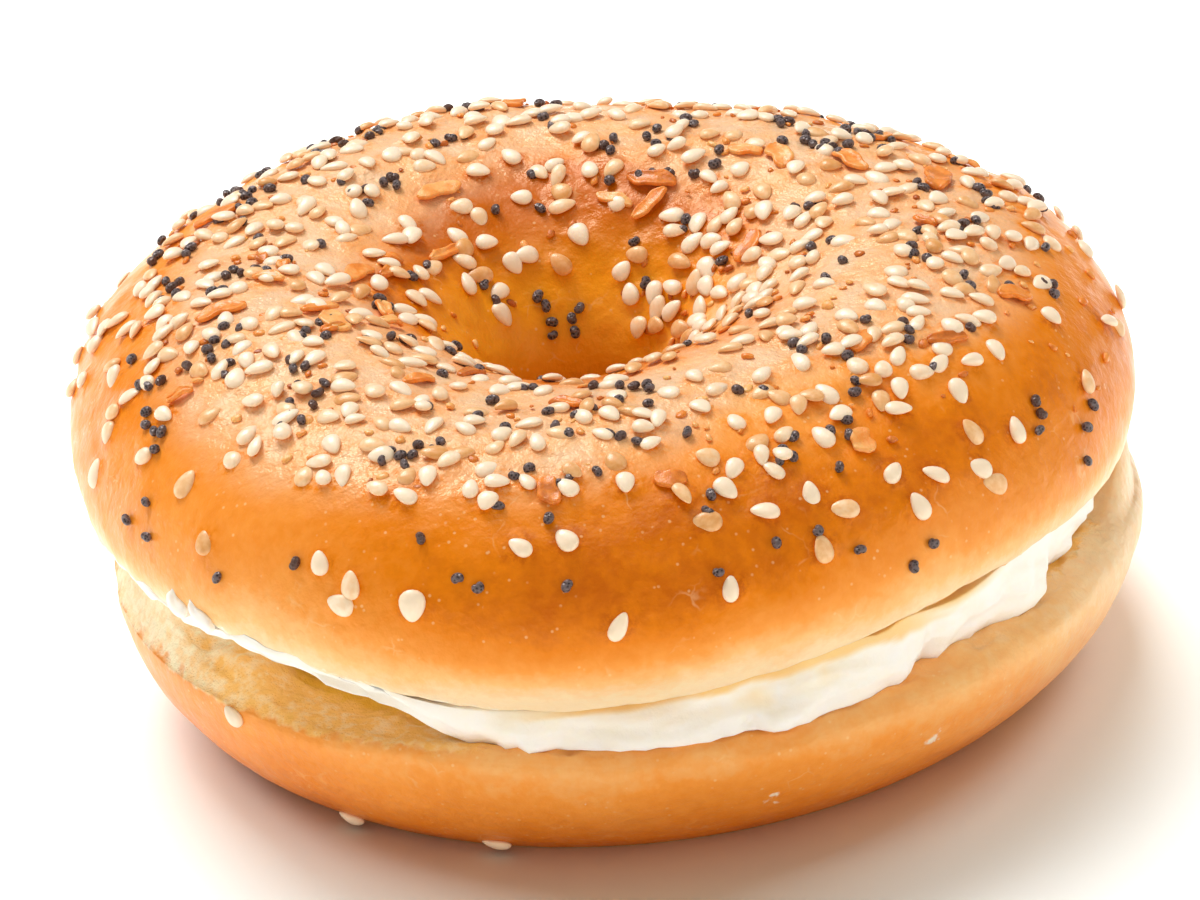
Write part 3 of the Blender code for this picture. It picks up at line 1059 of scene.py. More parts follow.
@dataclass(frozen=True)
class OnionFinish:
    """Toasted onion flakes, orange to brown, glassy at their thin places."""

    name: str = "toasted_onion"
    pale: Color = (0.94, 0.50, 0.18)
    orange: Color = (0.87, 0.27, 0.035)
    brown: Color = (0.42, 0.10, 0.016)

    def material(self) -> bpy.types.Material:
        """Makes the material.

        Returns:
            The material.
        """
        recipe = Recipe(self.name)
        tone = recipe.plus(recipe.attribute("tone"), recipe.blotches(1.4, -0.2, 0.2))
        color = recipe.shades(tone, ((0.0, self.pale), (0.45, self.orange), (1.0, self.brown)))
        normal = recipe.relief(recipe.noise(0.6, 3.0), 0.12)
        return recipe.finish(
            color, 0.34, normal,
            Subsurface_Weight=0.3, Subsurface_Radius=(1.0, 0.4, 0.15), Subsurface_Scale=0.8 * MM,
            Specular_IOR_Level=0.4,
        )


@dataclass
class TopHalf:
    """The top half: golden crust over the crest, a hole, and a crumb face below."""

    form: TopForm
    finish: BreadFinish
    around: int = 448
    flank_steps: int = 96
    funnel_steps: int = 62
    wall_steps: int = 8
    face_steps: int = 48
    face_crowding: float = 1.6
    throat_margin: float = 4.0
    skin: Layers = (
        Layer(0.16, 21, 7.0), Layer(0.07, 22, 2.6),
        Dots(0.16, 23, 4.4, 0.5), Dots(0.07, 24, 2.0, 0.45), Dots(-0.14, 25, 6.0, 0.35, level=1.0),
    )
    crown_lumps: Layers = (Layer(0.16, 27, 2.6), Layer(0.08, 28, 1.3))
    face_lumps: Layer = Layer(0.25, 26, 1.6)
    edge_drop: Layers = (Layer(0.30, 31, 6.0), Layer(0.16, 32, 1.7), Layer(0.40, 35, 11.0))
    edge_push: Layers = (Layer(0.35, 33, 5.0), Layer(0.16, 34, 1.5))
    edge_softness: float = 0.45
    edge_reach: float = 1.4
    wave_reach: float = 4.5
    bed_inner: float = 0.9
    bed_outer: float = 2.3
    bed_rise: float = 0.22
    lower_brown: Bumps = (Bump(13.0, -40.0, 50.0), Bump(12.0, -146.0, 62.0))
    side_bake: Bumps = (Bump(0.22, -170.0, 58.0), Bump(0.14, -34.0, 42.0), Bump(0.22, -4.0, 42.0))
    # A browner front, partly real bake and partly painted shade.
    front_bake_and_shade: Bump = Bump(0.44, -82.0, 75.0)
    # In the hole: paler lit slopes, painted light; a browner back wall high up, painted shade; a paler
    # heap slope, painted light.
    lit_slope: Bumps = (Bump(-0.85, -6.0, 50.0), Bump(-0.6, -134.0, 38.0))
    back_wall_shade_brown: Bump = Bump(14.0, 95.0, 60.0)
    shaded_bake: Bump = Bump(0.22, 95.0, 75.0)
    lit_heap_paling: Bump = Bump(0.30, -6.0, 46.0)
    # Where the crown's pink blush lies, which is partly painted sheen.
    blush_start: Bumps = (Bump(-12.0, -140.0, 45.0), Bump(22.0, -58.0, 40.0))
    blush_end: Bumps = (Bump(26.0, -8.0, 50.0), Bump(18.0, -134.0, 38.0), Bump(-12.0, 94.0, 45.0))
    glowing: float = 0.7
    glow_off: Bump = Bump(0.9, -6.0, 50.0)
    smeared: Stretch = Stretch(-118.0, 25.0, 8.0)

    def section(self, ring: Ring) -> tuple[Array, Array, Array]:
        """The plain form's points.

        Args:
            ring: The ring whose angles and steps are used.

        Returns:
            The points, the ways out of the surface, and the climb of each point, which goes on
            past 180 down the hole's wall and over the cut face.
        """
        form, angle, step = self.form, ring.angle, ring.step
        low = form.edge_climb(angle)
        part = np.clip(step / self.flank_steps, 0.0, 1.0)
        climb = low + (CREST - low) * part
        funnel = step - self.flank_steps
        down = np.clip(funnel / self.funnel_steps, 0.0, 1.0)
        climb = np.where(funnel > 0, CREST + (THROAT - CREST) * down, climb)
        points = form.point(angle, climb)
        _, out = directions(form, angle, np.clip(climb, low, THROAT - self.throat_margin))
        wall = funnel - self.funnel_steps
        wall_part = np.clip(wall / self.wall_steps, 0.0, 1.0)
        throat = at(form.hole_centre, angle, np.full_like(angle, form.hole_radius))
        foot = at(form.hole_centre, angle, np.full_like(angle, form.hole_foot))
        wall_height = form.throat_height + (form.cut_height - form.throat_height) * wall_part
        wall_points = raised(between(throat, foot, wall_part**2), wall_height)
        points = np.where((wall > 0)[:, None], wall_points, points)
        face = wall - self.wall_steps
        face_part = 1.0 - (1.0 - np.clip(face / self.face_steps, 0.0, 1.0)) ** self.face_crowding
        edge = form.point(angle, low)
        plan = between(foot, edge[:, :2], face_part)
        points = np.where((face > 0)[:, None], raised(plan, form.face_height(plan)), points)
        out = np.where((face > 0)[:, None], np.array([0.0, 0.0, -1.0]), out)
        climb = np.where(wall > 0, THROAT + (FOOT - THROAT) * wall_part, climb)
        climb = np.where(face > 0, FACE + (RIM - FACE) * face_part, climb)
        return points, out, climb

    def relief(self, points: Array, climb: Array) -> Array:
        """How far the baked skin stands out of the plain form, from lumps, blisters and dimples.

        Args:
            points: The plain form's points, three to a row.
            climb: Their climbs, in degrees.

        Returns:
            The relief at each point.
        """
        on_crust = band(climb, (-30.0, 5.0), (150.0, THROAT))
        crown = ramp(climb, 42.0, 70.0) * total(self.crown_lumps, points)
        crumb = self.face_lumps.at(points) * ramp(climb, FACE, FACE + 15.0)
        return on_crust * (total(self.skin, points) + crown) + crumb

    def beds(self, points: Array, seeds: Sequence[Place]) -> Array:
        """How near points are to the seeds that the crust swells round.

        Args:
            points: The points, three to a row.
            seeds: The places of the seeds.

        Returns:
            The nearness of each point, from 0 to 1.
        """
        tree = KDTree(len(seeds))
        for index, seed in enumerate(seeds):
            tree.insert(self.form.point(math.radians(seed.angle), seed.climb), index)
        tree.balance()
        distance = np.array([tree.find(point)[2] for point in points])
        return 1.0 - ramp(distance, self.bed_inner, self.bed_outer)

    def edge_wave(self, angle: Array, points: Array) -> Array:
        """How the cut edge wanders and is rounded, dying out away from it.

        Args:
            angle: Round the ring, in radians.
            points: The points to shift, three to a row.

        Returns:
            The shifts in X, Y and Z.
        """
        edge = self.form.point(angle, self.form.edge_climb(angle))
        distance = np.linalg.norm(points - edge, axis=-1)
        near = 1.0 - ramp(distance, 0.0, self.wave_reach)
        corner = (1.0 - np.clip(distance / self.edge_reach, 0.0, 1.0)) ** 2
        inward = total(self.edge_push, edge) * near - self.edge_softness * corner
        drop = total(self.edge_drop, edge) * near + 0.6 * self.edge_softness * corner
        return raised(at(ORIGIN, angle, inward), drop)

    def bake(self, angle: Array, climb: Array) -> Array:
        """How far the crust is baked, from 0 for dough to 1 for brown, with painted shade at the front
        and high on the hole's back wall, and painted light on the hole's lit slopes.

        Args:
            angle: Round the ring, in radians.
            climb: Over the crust, in degrees.

        Returns:
            The bake at each point.
        """
        above = climb - self.form.edge_climb(angle)
        flank = 0.50 * ramp(above + total(self.lower_brown, angle), 7.0, 44.0)
        sides = total(self.side_bake, angle) * ramp(above, 0.0, 18.0) * (1.0 - ramp(climb, 40.0, 70.0))
        # The front is browner, partly painted shade.
        front = self.front_bake_and_shade.at(angle) * ramp(above, 18.0, 56.0) * (1.0 - ramp(climb, 38.0, 76.0))
        crown = -0.06 * band(climb, (50.0, 75.0), (100.0, 125.0))
        # The hole's back wall is browner high up, painted shade, and its lit slopes are paler, painted
        # light.
        shaded = self.shaded_bake.at(angle)
        brown = (0.40 + shaded) * ramp(climb + self.back_wall_shade_brown.at(angle), 104.0, 126.0)
        golden = (0.27 + shaded) * ramp(climb, 124.0, 160.0)
        hole = total(self.lit_slope, angle, 1.0) * (brown - golden)
        # The heap slope on the right is paler, painted light.
        heap = self.lit_heap_paling.at(angle) * ramp(climb, 104.0, 130.0)
        return flank + sides + front + crown + hole - heap

    def blush_and_sheen_share(self, angle: Array, climb: Array) -> Array:
        """How pink the crown is, from 0 to 1, a blush that is partly painted sheen: lower down at the
        left, higher up at the right front.
        """
        start, end = total(self.blush_start, angle, 46.0), total(self.blush_end, angle)
        return ramp(climb - start, 0.0, 28.0) * (1.0 - ramp(climb - end, 102.0, 128.0))

    def glow(self, angle: Array, climb: Array) -> Array:
        """How honey-coloured the hole's wall is, from 0 to 0.7: all round but on its lit slope."""
        return self.glowing * ramp(climb, 120.0, 150.0) * (1.0 - self.glow_off.at(angle))

    def build(self, seeds: Sequence[Place]) -> Piece:
        """Builds and dresses the top half.

        Args:
            seeds: The places of the seeds that its crust swells round.

        Returns:
            The piece, which replaces the solid.
        """
        steps = self.flank_steps + self.funnel_steps + self.wall_steps + self.face_steps
        ring = Ring("top_half", self.around, steps)
        points, out, climb = self.section(ring)
        bed = self.beds(points, seeds) * (1.0 - ramp(climb, 165.0, THROAT))
        relief = self.relief(points, climb) + self.bed_rise * bed
        ring.shape(points + out * relief[:, None] + self.edge_wave(ring.angle, points))
        above = climb - self.form.edge_climb(ring.angle)
        smear = self.smeared.at(ring.angle) * (1.0 - ramp(above, 2.0, 12.0))
        # The crumb face turns warmer inward, painted shade under the top half; the bake holds painted
        # shade and light, the blush partly painted sheen, the seed beds partly painted shade.
        ring.keep(
            bake=self.bake(ring.angle, np.minimum(climb, THROAT)), blush=self.blush_and_sheen_share(ring.angle, climb),
            bed=bed, honey=self.glow(ring.angle, climb), smear=smear - 0.5,
            crumb=ramp(climb, FACE - 4.0, FACE + 4.0), pore=np.zeros(len(points)),
            depth=0.5 * ramp(climb, FACE, FACE + 40.0),
        )
        return hand_in(ring.piece, self.finish.material(), "bagel_top")


@dataclass
class BottomHalf:
    """The bottom half: a crumb face with torn lips, and a paler round flank."""

    form: BottomForm
    finish: BreadFinish
    around: int = 512
    crumb_steps: int = 96
    wall_steps: int = 10
    base_steps: int = 10
    flank_steps: int = 60
    rim_crowding: float = 1.9
    large_pores: Dots = Dots(1.0, 41, 3.6, 0.55, level=0.8)
    small_pores: Dots = Dots(0.6, 42, 1.7, 0.6, level=0.8)
    pore_depth: float = 0.7
    crumb_lumps: Layers = (Layer(0.30, 43, 3.0), Layer(0.16, 44, 1.2))
    torn: Layers = (Layer(0.7, 48, 5.0), Layer(0.4, 49, 2.0))
    torn_depth: float = 0.2
    skin: Layers = (Layer(0.14, 45, 6.0), Layer(0.05, 46, 2.4), Dots(0.06, 47, 2.2, 0.4))
    edge_drop: Layers = (Layer(0.35, 51, 7.0), Layer(0.15, 52, 2.0))
    edge_push: Layers = (Layer(0.30, 53, 6.0), Layer(0.12, 54, 1.8))
    edge_softness: float = 0.6
    edge_reach: float = 2.2
    crust_rounding: float = 1.3
    lip_sharpening: float = 0.7
    wave_reach: float = 4.0
    crust_over_rim: Stretch = Stretch(-40.0, 62.0, 12.0)
    crumb_over_rim: Bumps = (Bump(0.145, -22.0, 32.0), Bump(0.03, -155.0, 50.0))
    ragged: Layers = (Layer(0.022, 55, 3.4), Layer(0.014, 56, 1.4))
    # The paler right of these, with the pinker blush below, is partly painted light from the right.
    side_bake: Bumps = (Bump(0.06, -92.0, 60.0), Bump(-0.20, -5.0, 60.0), Bump(0.24, -150.0, 55.0))
    blush: Bumps = (Bump(0.12, -165.0, 50.0), Bump(0.4, -10.0, 50.0))
    # Paler lips, partly painted light, and ochre in the gap, painted shade.
    left_pale: Stretch = Stretch(-176.0, 32.0, 10.0)
    right_pale: Stretch = Stretch(6.0, 26.0, 12.0)
    gap_shade: Bump = Bump(0.7, -131.0, 17.0)
    scuffs: tuple[tuple[float, float, float], ...] = (
        (-55.5, -24.0, 2.3), (-76.0, -29.0, 2.2), (-97.0, -20.0, 1.2),
    )

    def section(self, ring: Ring) -> tuple[Array, Array, Array]:
        """The plain form's points.

        Args:
            ring: The ring whose angles and steps are used.

        Returns:
            The points, the ways out of the surface, and for each point how far it is from the
            rim: above 0 in over the crumb in shares of the face, below 0 down over the crust.
        """
        form, angle, step = self.form, ring.angle, ring.step
        rim = form.flank(angle, form.rim_slope(angle))
        face_part = np.clip(step / self.crumb_steps, 0.0, 1.0) ** self.rim_crowding
        hole_top = at(form.hole_centre, angle, np.full_like(angle, form.hole_top))
        plan = between(rim[:, :2], hole_top, face_part)
        points = raised(plan, form.face_height(plan))
        out = np.broadcast_to(np.array([0.0, 0.0, 1.0]), points.shape).copy()
        inward = face_part
        wall = step - self.crumb_steps
        wall_part = np.clip(wall / self.wall_steps, 0.0, 1.0)
        radius = form.hole_top + (form.hole_foot - form.hole_top) * wall_part**2
        wall_points = raised(at(form.hole_centre, angle, radius), form.cut_height * (1.0 - wall_part))
        points = np.where((wall > 0)[:, None], wall_points, points)
        base = wall - self.wall_steps
        base_part = np.clip(base / self.base_steps, 0.0, 1.0)
        foot = form.flank(angle, np.full_like(angle, form.foot_slope()))
        hole_foot = at(form.hole_centre, angle, np.full_like(angle, form.hole_foot))
        base_plan = between(hole_foot, foot[:, :2], base_part)
        points = np.where((base > 0)[:, None], raised(base_plan, np.zeros(len(angle))), points)
        flank = base - self.base_steps
        flank_part = np.clip(flank / self.flank_steps, 0.0, 1.0)
        slope = form.foot_slope() + (form.rim_slope(angle) - form.foot_slope()) * flank_part
        points = np.where((flank > 0)[:, None], form.flank(angle, slope), points)
        level = at(ORIGIN, angle, np.cos(slope))
        out = np.where((flank > 0)[:, None], raised(level, np.sin(slope)), out)
        inward = np.where(wall > 0, 1.0, inward)
        inward = np.where(flank > 0, flank_part - 1.0, inward)
        return points, out, inward

    def pores(self, points: Array) -> Array:
        """How deep the crumb's open pores are, from 0 to 1, at points, three to a row."""
        return np.maximum(self.large_pores.at(points), self.small_pores.at(points))

    def edge_wave(self, angle: Array, points: Array) -> Array:
        """How the rim wanders and is rounded, dying out away from it.

        Args:
            angle: Round the ring, in radians.
            points: The points to shift, three to a row.

        Returns:
            The shifts in X, Y and Z.
        """
        rim = self.form.flank(angle, self.form.rim_slope(angle))
        distance = np.linalg.norm(points - rim, axis=-1)
        near = 1.0 - ramp(distance, 0.0, self.wave_reach)
        rounder = self.crust_rounding * self.crust_over_rim.at(angle)
        corner = (1.0 - np.clip(distance / (self.edge_reach * (1.0 + rounder)), 0.0, 1.0)) ** 2
        sharper = self.lip_sharpening * self.form.left_lip_stretch.at(angle)
        fall = self.edge_softness * (1.0 + rounder - sharper) * corner
        inward = total(self.edge_push, rim) * near - fall
        return raised(at(ORIGIN, angle, inward), total(self.edge_drop, rim) * near - fall)

    def scuffed(self, points: Array) -> Array:
        """How near points are to the small pale scuffs on the flank.

        Args:
            points: The points, three to a row.

        Returns:
            The nearness of each point, from 0 to near 1.
        """
        share = np.zeros(len(points))
        for angle, slope, reach in self.scuffs:
            middle = self.form.point(np.asarray(math.radians(angle)), np.asarray(slope))
            distance = np.linalg.norm(points - middle, axis=-1)
            share = np.maximum(share, 1.0 - ramp(distance, 0.3 * reach, reach))
        return 0.95 * share

    def bake(self, angle: Array, height: Array) -> Array:
        """How far the flank is baked, at angles in radians and at heights, and paler at the right,
        partly as painted light.
        """
        down = 0.27 * (1.0 - ramp(height, 0.0, 9.0)) - 0.19 * ramp(height, 8.0, 15.0)
        return 0.49 + down + total(self.side_bake, angle)

    def crumb_share(self, angle: Array, inward: Array) -> Array:
        """Where the crumb shows, and where the crust rounds over the rim.

        Args:
            angle: Round the ring, in radians.
            inward: How far in from the rim, in shares of the cut face.

        Returns:
            1 for crumb and 0 for crust, at each point.
        """
        rim = self.form.flank(angle, self.form.rim_slope(angle))
        start = 0.20 * self.crust_over_rim.at(angle) - total(self.crumb_over_rim, angle)
        return ramp(inward - start - total(self.ragged, rim), -0.03, 0.08)

    def crumb_warmth_and_shade(self, angle: Array, plan: Array) -> Array:
        """How warm the crumb's colour is: paler on the lips, partly painted light, and ochre deep in the
        gap, painted shade.

        Args:
            angle: Round the ring, in radians.
            plan: The points' plan positions, two to a row.

        Returns:
            The warmth at each point, from 0 at the left lip to 1 deep in the gap.
        """
        _, radius = around(self.form.centre, plan)
        pale = self.left_pale.at(angle) + 0.7 * self.right_pale.at(angle)
        # Deep in the gap under the top half the crumb is painted ochre shade.
        gap = 1.0 - ramp(radius, 44.5, 49.5)
        shaded = self.gap_shade.at(angle)
        return np.clip(0.46 - 0.36 * pale + gap * (0.5 - 0.25 * pale + shaded), 0.0, 1.0)

    def build(self) -> Piece:
        """Builds and dresses the bottom half.

        Returns:
            The piece, which replaces the solid.
        """
        steps = self.crumb_steps + self.wall_steps + self.base_steps + self.flank_steps
        ring = Ring("bottom_half", self.around, steps)
        points, out, inward = self.section(ring)
        on_crumb = band(inward, (0.0, 0.06), (0.97, 1.0))
        pores = self.pores(points) * on_crumb
        lip = ramp(self.form.face_height(points[:, :2]) - self.form.cut_height, 1.0, 3.2)
        torn = lip * total(self.torn, points, self.torn_depth).clip(0.0)
        crumb = total(self.crumb_lumps, points) - self.pore_depth * pores - torn
        on_crust = np.where(inward < 0.0, ramp(points[:, 2], 0.5, 4.0), 0.0)
        relief = on_crumb * crumb + on_crust * total(self.skin, points)
        ring.shape(points + out * relief[:, None] + self.edge_wave(ring.angle, points))
        # The bake and the blush are paler and pinker at the right, partly painted light; the crumb's
        # warmth holds painted light on the lips and painted shade in the gap and pores.
        ring.keep(
            bake=self.bake(ring.angle, points[:, 2]), blush=total(self.blush, ring.angle),
            smear=self.scuffed(points) - 0.5, bed=np.zeros(len(points)),
            crumb=self.crumb_share(ring.angle, inward), pore=pores,
            depth=self.crumb_warmth_and_shade(ring.angle, points[:, :2]),
        )
        return hand_in(ring.piece, self.finish.material(), "bagel_bottom")


@dataclass
class CheeseLayer:
    """The cream cheese: a spread layer with a ragged edge, and a strip over the left gap."""

    form: CheeseForm
    finish: CheeseFinish
    above: TopHalf
    around: int = 640
    face_steps: int = 40
    edge_steps: int = 28
    edge_crowding: float = 1.5
    # The upper side's first steps take the painted shade of the top edge.
    soaked_and_shaded_steps: int = 6
    ragged: Layers = (Layer(0.60, 61, 5.0), Layer(0.66, 62, 2.3), Layer(0.42, 63, 1.1))
    bulge_lumps: Layer = Layer(0.7, 73, 1.2)
    streaks: Layers = (
        Layer(0.30, 64, 2.2, (3.0, 3.0, 0.5)), Layer(0.50, 65, 4.5),
        Layer(0.30, 69, 1.3), Layer(0.14, 77, 0.8),
    )
    strip_start: float = 0.3
    strip_reach: Layers = (Layer(4.4, 66, 3.2), Layer(2.8, 67, 1.2))
    strip_lumps: Layer = Layer(0.8, 68, 1.6)
    strip_hang: Layers = (Layer(1.1, 75, 1.6), Layer(0.6, 76, 1.0))
    patches: Layers = (Layer(1.0, 70, 4.2), Layer(0.5, 72, 1.5))
    thin_front: Bump = Bump(1.0, -70.0, 34.0)
    # Painted shade in the slots under the crust, and a painted shadow line along the top edge.
    slots: Bumps = (Bump(0.9, -50.0, 14.0), Bump(0.8, -60.0, 4.0))
    shadow_line: Stretch = Stretch(-76.0, 24.0, 6.0)
    line_wander: Layer = Layer(0.09, 78, 3.0)

    def section(self, ring: Ring) -> tuple[Array, Array]:
        """The layer's points, and how far each is up the outer edge, from 0 to 1.

        Args:
            ring: The ring whose angles and steps are used.

        Returns:
            The points and the shares.
        """
        form, angle, step = self.form, ring.angle, ring.step
        rim = self.rim(angle)
        ragged = total(self.ragged, rim)
        high, low = form.high_edge(angle), form.low_edge(angle) + ragged
        upper_part = 1.0 - np.clip(step / self.face_steps, 0.0, 1.0)
        upper_part = 1.0 - (1.0 - upper_part) ** self.edge_crowding
        plan = at(ORIGIN, angle, form.hole + (high - form.hole) * upper_part)
        points = raised(plan, form.upper(angle, plan))
        lower = step - self.face_steps - 1
        lower_part = 1.0 - (1.0 - np.clip(lower / self.face_steps, 0.0, 1.0)) ** self.edge_crowding
        plan = at(ORIGIN, angle, form.hole + (low - form.hole) * lower_part)
        points = np.where((lower >= 0)[:, None], raised(plan, form.lower(angle, plan)), points)
        edge = lower - self.face_steps
        part = np.clip(edge / (self.edge_steps + 1), 0.0, 1.0)
        lip = 0.55 * np.sin(np.pi * np.clip(part * 2.6, 0.0, 1.0)) * ragged.clip(0.0)
        bulge = form.bulge * np.sin(np.pi * part) * (1.0 + self.bulge_lumps.at(rim)) + lip
        plan = at(ORIGIN, angle, low + (high - low) * part + bulge)
        floor, roof = form.lower(angle, plan), form.upper(angle, plan)
        points = np.where((edge > 0)[:, None], raised(plan, floor + (roof - floor) * part), points)
        up_edge = np.where(edge >= 0, part, np.where(step == 0, 1.0, 0.0))
        wrap = form.strip.at(angle) * ramp(up_edge, 0.0, self.strip_start)
        return points + (self.smear(angle, up_edge) - points) * wrap[:, None], up_edge

    def smear(self, angle: Array, up_edge: Array) -> Array:
        """Points of the thin strip that is smeared over the top half's cut edge.

        Args:
            angle: Round the ring, in radians.
            up_edge: How far up the layer's outer edge each point is, from 0 to 1.

        Returns:
            The points.
        """
        form = self.form.top
        low = form.edge_climb(angle)
        rim = self.rim(angle)
        reach = total(self.strip_reach, rim, 4.6).clip(1.0)
        climb = low + reach * np.clip((up_edge - self.strip_start) / (1.0 - self.strip_start), 0.0, 1.0)
        crust = form.point(angle, climb)
        _, out = directions(form, angle, climb)
        thick = 0.34 * np.sin(np.pi * up_edge.clip(0.0, 1.0)) * (1.0 + self.strip_lumps.at(rim)) - 0.06
        hang = total(self.strip_hang, rim, 0.40).clip(0.0, 1.5)
        hang = raised(np.zeros((len(angle), 2)), hang * (1.0 - ramp(up_edge, 0.0, 0.6)))
        return crust + self.above.edge_wave(angle, crust) + out * thick[:, None] - hang

    def soaked_and_shaded(self, angle: Array, points: Array, up_edge: Array) -> Array:
        """How far crumb shows through the thin upper edge, in patches at the right front, with painted
        shade in the slots and a painted shadow line along the top edge.

        Args:
            angle: Round the ring, in radians.
            points: The points, three to a row.
            up_edge: How far up the layer's outer edge each point is, from 0 to 1.

        Returns:
            The share of crumb and painted shade at each point, from 0 to 1.
        """
        patches = ramp(total(self.patches, points), -0.15, 0.65) * self.thin_front.at(angle)
        thin = 0.42 * patches * ramp(up_edge, 0.30, 0.65)
        # Painted shade in the slots, and a painted shadow line under the crust.
        slot = ramp(up_edge, 0.84, 1.0) * total(self.slots, angle)
        wander = self.line_wander.at(self.rim(angle))
        line = 0.9 * ramp(up_edge + wander, 0.76, 0.88) * self.shadow_line.at(angle)
        return np.maximum(thin, np.maximum(slot, line))

    def rim(self, angle: Array) -> Array:
        """Points along the layer's free edge, to draw its raggedness from."""
        return raised(at(ORIGIN, angle, np.full_like(angle, self.form.radius)), np.zeros_like(angle))

    def build(self) -> Piece:
        """Builds and dresses the layer.

        Returns:
            The piece, which replaces the solid.
        """
        steps = self.face_steps * 2 + 2 + self.edge_steps
        ring = Ring("cream_cheese_layer", self.around, steps)
        points, up_edge = self.section(ring)
        strip = self.form.strip.at(ring.angle)
        streaks = total(self.streaks, points) * (1.0 - 0.8 * strip)
        shift = at(ORIGIN, ring.angle, np.sin(np.pi * up_edge) * streaks)
        ring.shape(points + raised(shift, np.zeros(len(points))))
        # The tone holds crumb seen through thin cheese, and painted shade in the slots and along the top
        # edge.
        topmost = np.where(ring.step < self.soaked_and_shaded_steps, 1.0, up_edge)
        ring.keep(tone=self.soaked_and_shaded(ring.angle, points, topmost), thin=strip)
        return hand_in(ring.piece, self.finish.material(), "cream_cheese")


@dataclass
class Scatter:
    """Draws places on the crust for toppings, none too near to another."""

    form: TopForm
    flake_parts: tuple[float, ...] = (-0.4, -0.15, 0.15, 0.4)
    points: list[Array] = field(default_factory=list)

    def take(self, angle: float, climb: float) -> None:
        """Notes that a place is taken."""
        self.points.append(self.form.point(math.radians(angle), climb))

    def take_all(self, flake: Sequence[float]) -> None:
        """Notes that the places along a flake are taken.

        Args:
            flake: Its angle, climb, turn, length and width.
        """
        angle, climb, turn, length, _ = flake
        centre = self.form.point(math.radians(angle), climb)
        along = axes(self.form, angle, climb, turn)[0]
        self.points.extend(centre + along * length * part for part in self.flake_parts)

    def free(self, angle: float, climb: float, spacing: float) -> bool:
        """Whether a place is free.

        Args:
            angle: Round the ring, in degrees.
            climb: Over the crust, in degrees.
            spacing: How far it has to be from every place taken.

        Returns:
            Whether it is that far from them all.
        """
        if not self.points:
            return True
        point = self.form.point(math.radians(angle), climb)
        return bool(np.min(np.linalg.norm(np.array(self.points) - point, axis=-1)) > spacing)


@dataclass
class Topping:
    """Many copies of one small shape, joined in one mesh and laid on the crust."""

    form: TopForm
    bottom: BottomForm

    def join(
        self, name: str, points: Array, faces: Sequence[Sequence[int]], rim: Array,
        places: Sequence[Place],
    ) -> Piece:
        """Lays the copies.

        Args:
            name: The piece's name.
            points: One copy's points, from -0.5 to 0.5 along its length, width and thickness.
            faces: One copy's faces.
            rim: How near each point is to the copy's rim, from 0 to 1.
            places: Where the copies go.

        Returns:
            The piece.
        """
        laid = [self.lay(points, place) for place in places]
        mesh = bpy.data.meshes.new(name)
        all_faces = [
            tuple(corner + index * len(points) for corner in face)
            for index in range(len(places)) for face in faces
        ]
        mesh.from_pydata((np.concatenate(laid) * MM).tolist(), [], all_faces)
        mesh.shade_smooth()
        piece = bpy.data.objects.new(name, mesh)
        bpy.context.scene.collection.objects.link(piece)
        set_attribute(piece, "rim", np.tile(rim, len(places)))
        set_attribute(piece, "tone", np.repeat([place.tone for place in places], len(points)))
        return piece

    def lay(self, points: Array, place: Place) -> Array:
        """Lays one copy on the crust of its half.

        Args:
            points: The copy's points, from -0.5 to 0.5 along its length, width and thickness.
            place: Where it goes.

        Returns:
            The points in their place.
        """
        form = self.form if place.half is Half.TOP else self.bottom
        basis = axes(form, place.angle, place.climb, place.turn)
        lean = Matrix.Rotation(math.radians(place.lean), 3, "X")
        pitch = Matrix.Rotation(math.radians(place.pitch), 3, "Y")
        copy = (points * np.array(place.size)) @ np.array(lean @ pitch).T
        centre = form.point(np.radians(place.angle), np.asarray(float(place.climb)))
        return centre + basis[2] * place.rise + copy @ basis

    def down_hole(self, angle: float, climb: float, fall: Range) -> float:
        """How thickly seeds lie past the crest, where there is less and less room.

        Args:
            angle: Round the ring, in radians.
            climb: Over the crust, in degrees.
            fall: Between which climbs they thin out.

        Returns:
            The share, from 0 to 1.
        """
        point = self.form.point(angle, climb)
        crowding = math.hypot(point[0], point[1]) / self.form.radius
        return float((1.0 - ramp(climb, *fall)) * crowding)


def anywhere(draw: random.Random, climbs: Range) -> tuple[float, float]:
    """Draws an angle round the ring and a climb between two, both in degrees."""
    return draw.uniform(-180.0, 180.0), draw.uniform(*climbs)


def round_body(segments: int, rings: int) -> tuple[Array, list[tuple[int, ...]]]:
    """A sphere of radius 1 whose poles are on X, with its points and faces in a settled order.

    Args:
        segments: How many steps it has round its length.
        rings: How many along it.

    Returns:
        Its points and its faces.
    """
    body = bmesh.new()
    bmesh.ops.create_uvsphere(body, u_segments=segments, v_segments=rings, radius=1.0)
    body.verts.index_update()
    points = np.array([(vertex.co.z, vertex.co.x, vertex.co.y) for vertex in body.verts])
    order = np.lexsort(np.round(points, 5).T)
    rank = np.argsort(order).tolist()
    faces = sorted(tuple(rank[vertex.index] for vertex in face.verts) for face in body.faces)
    body.free()
    return points[order], faces


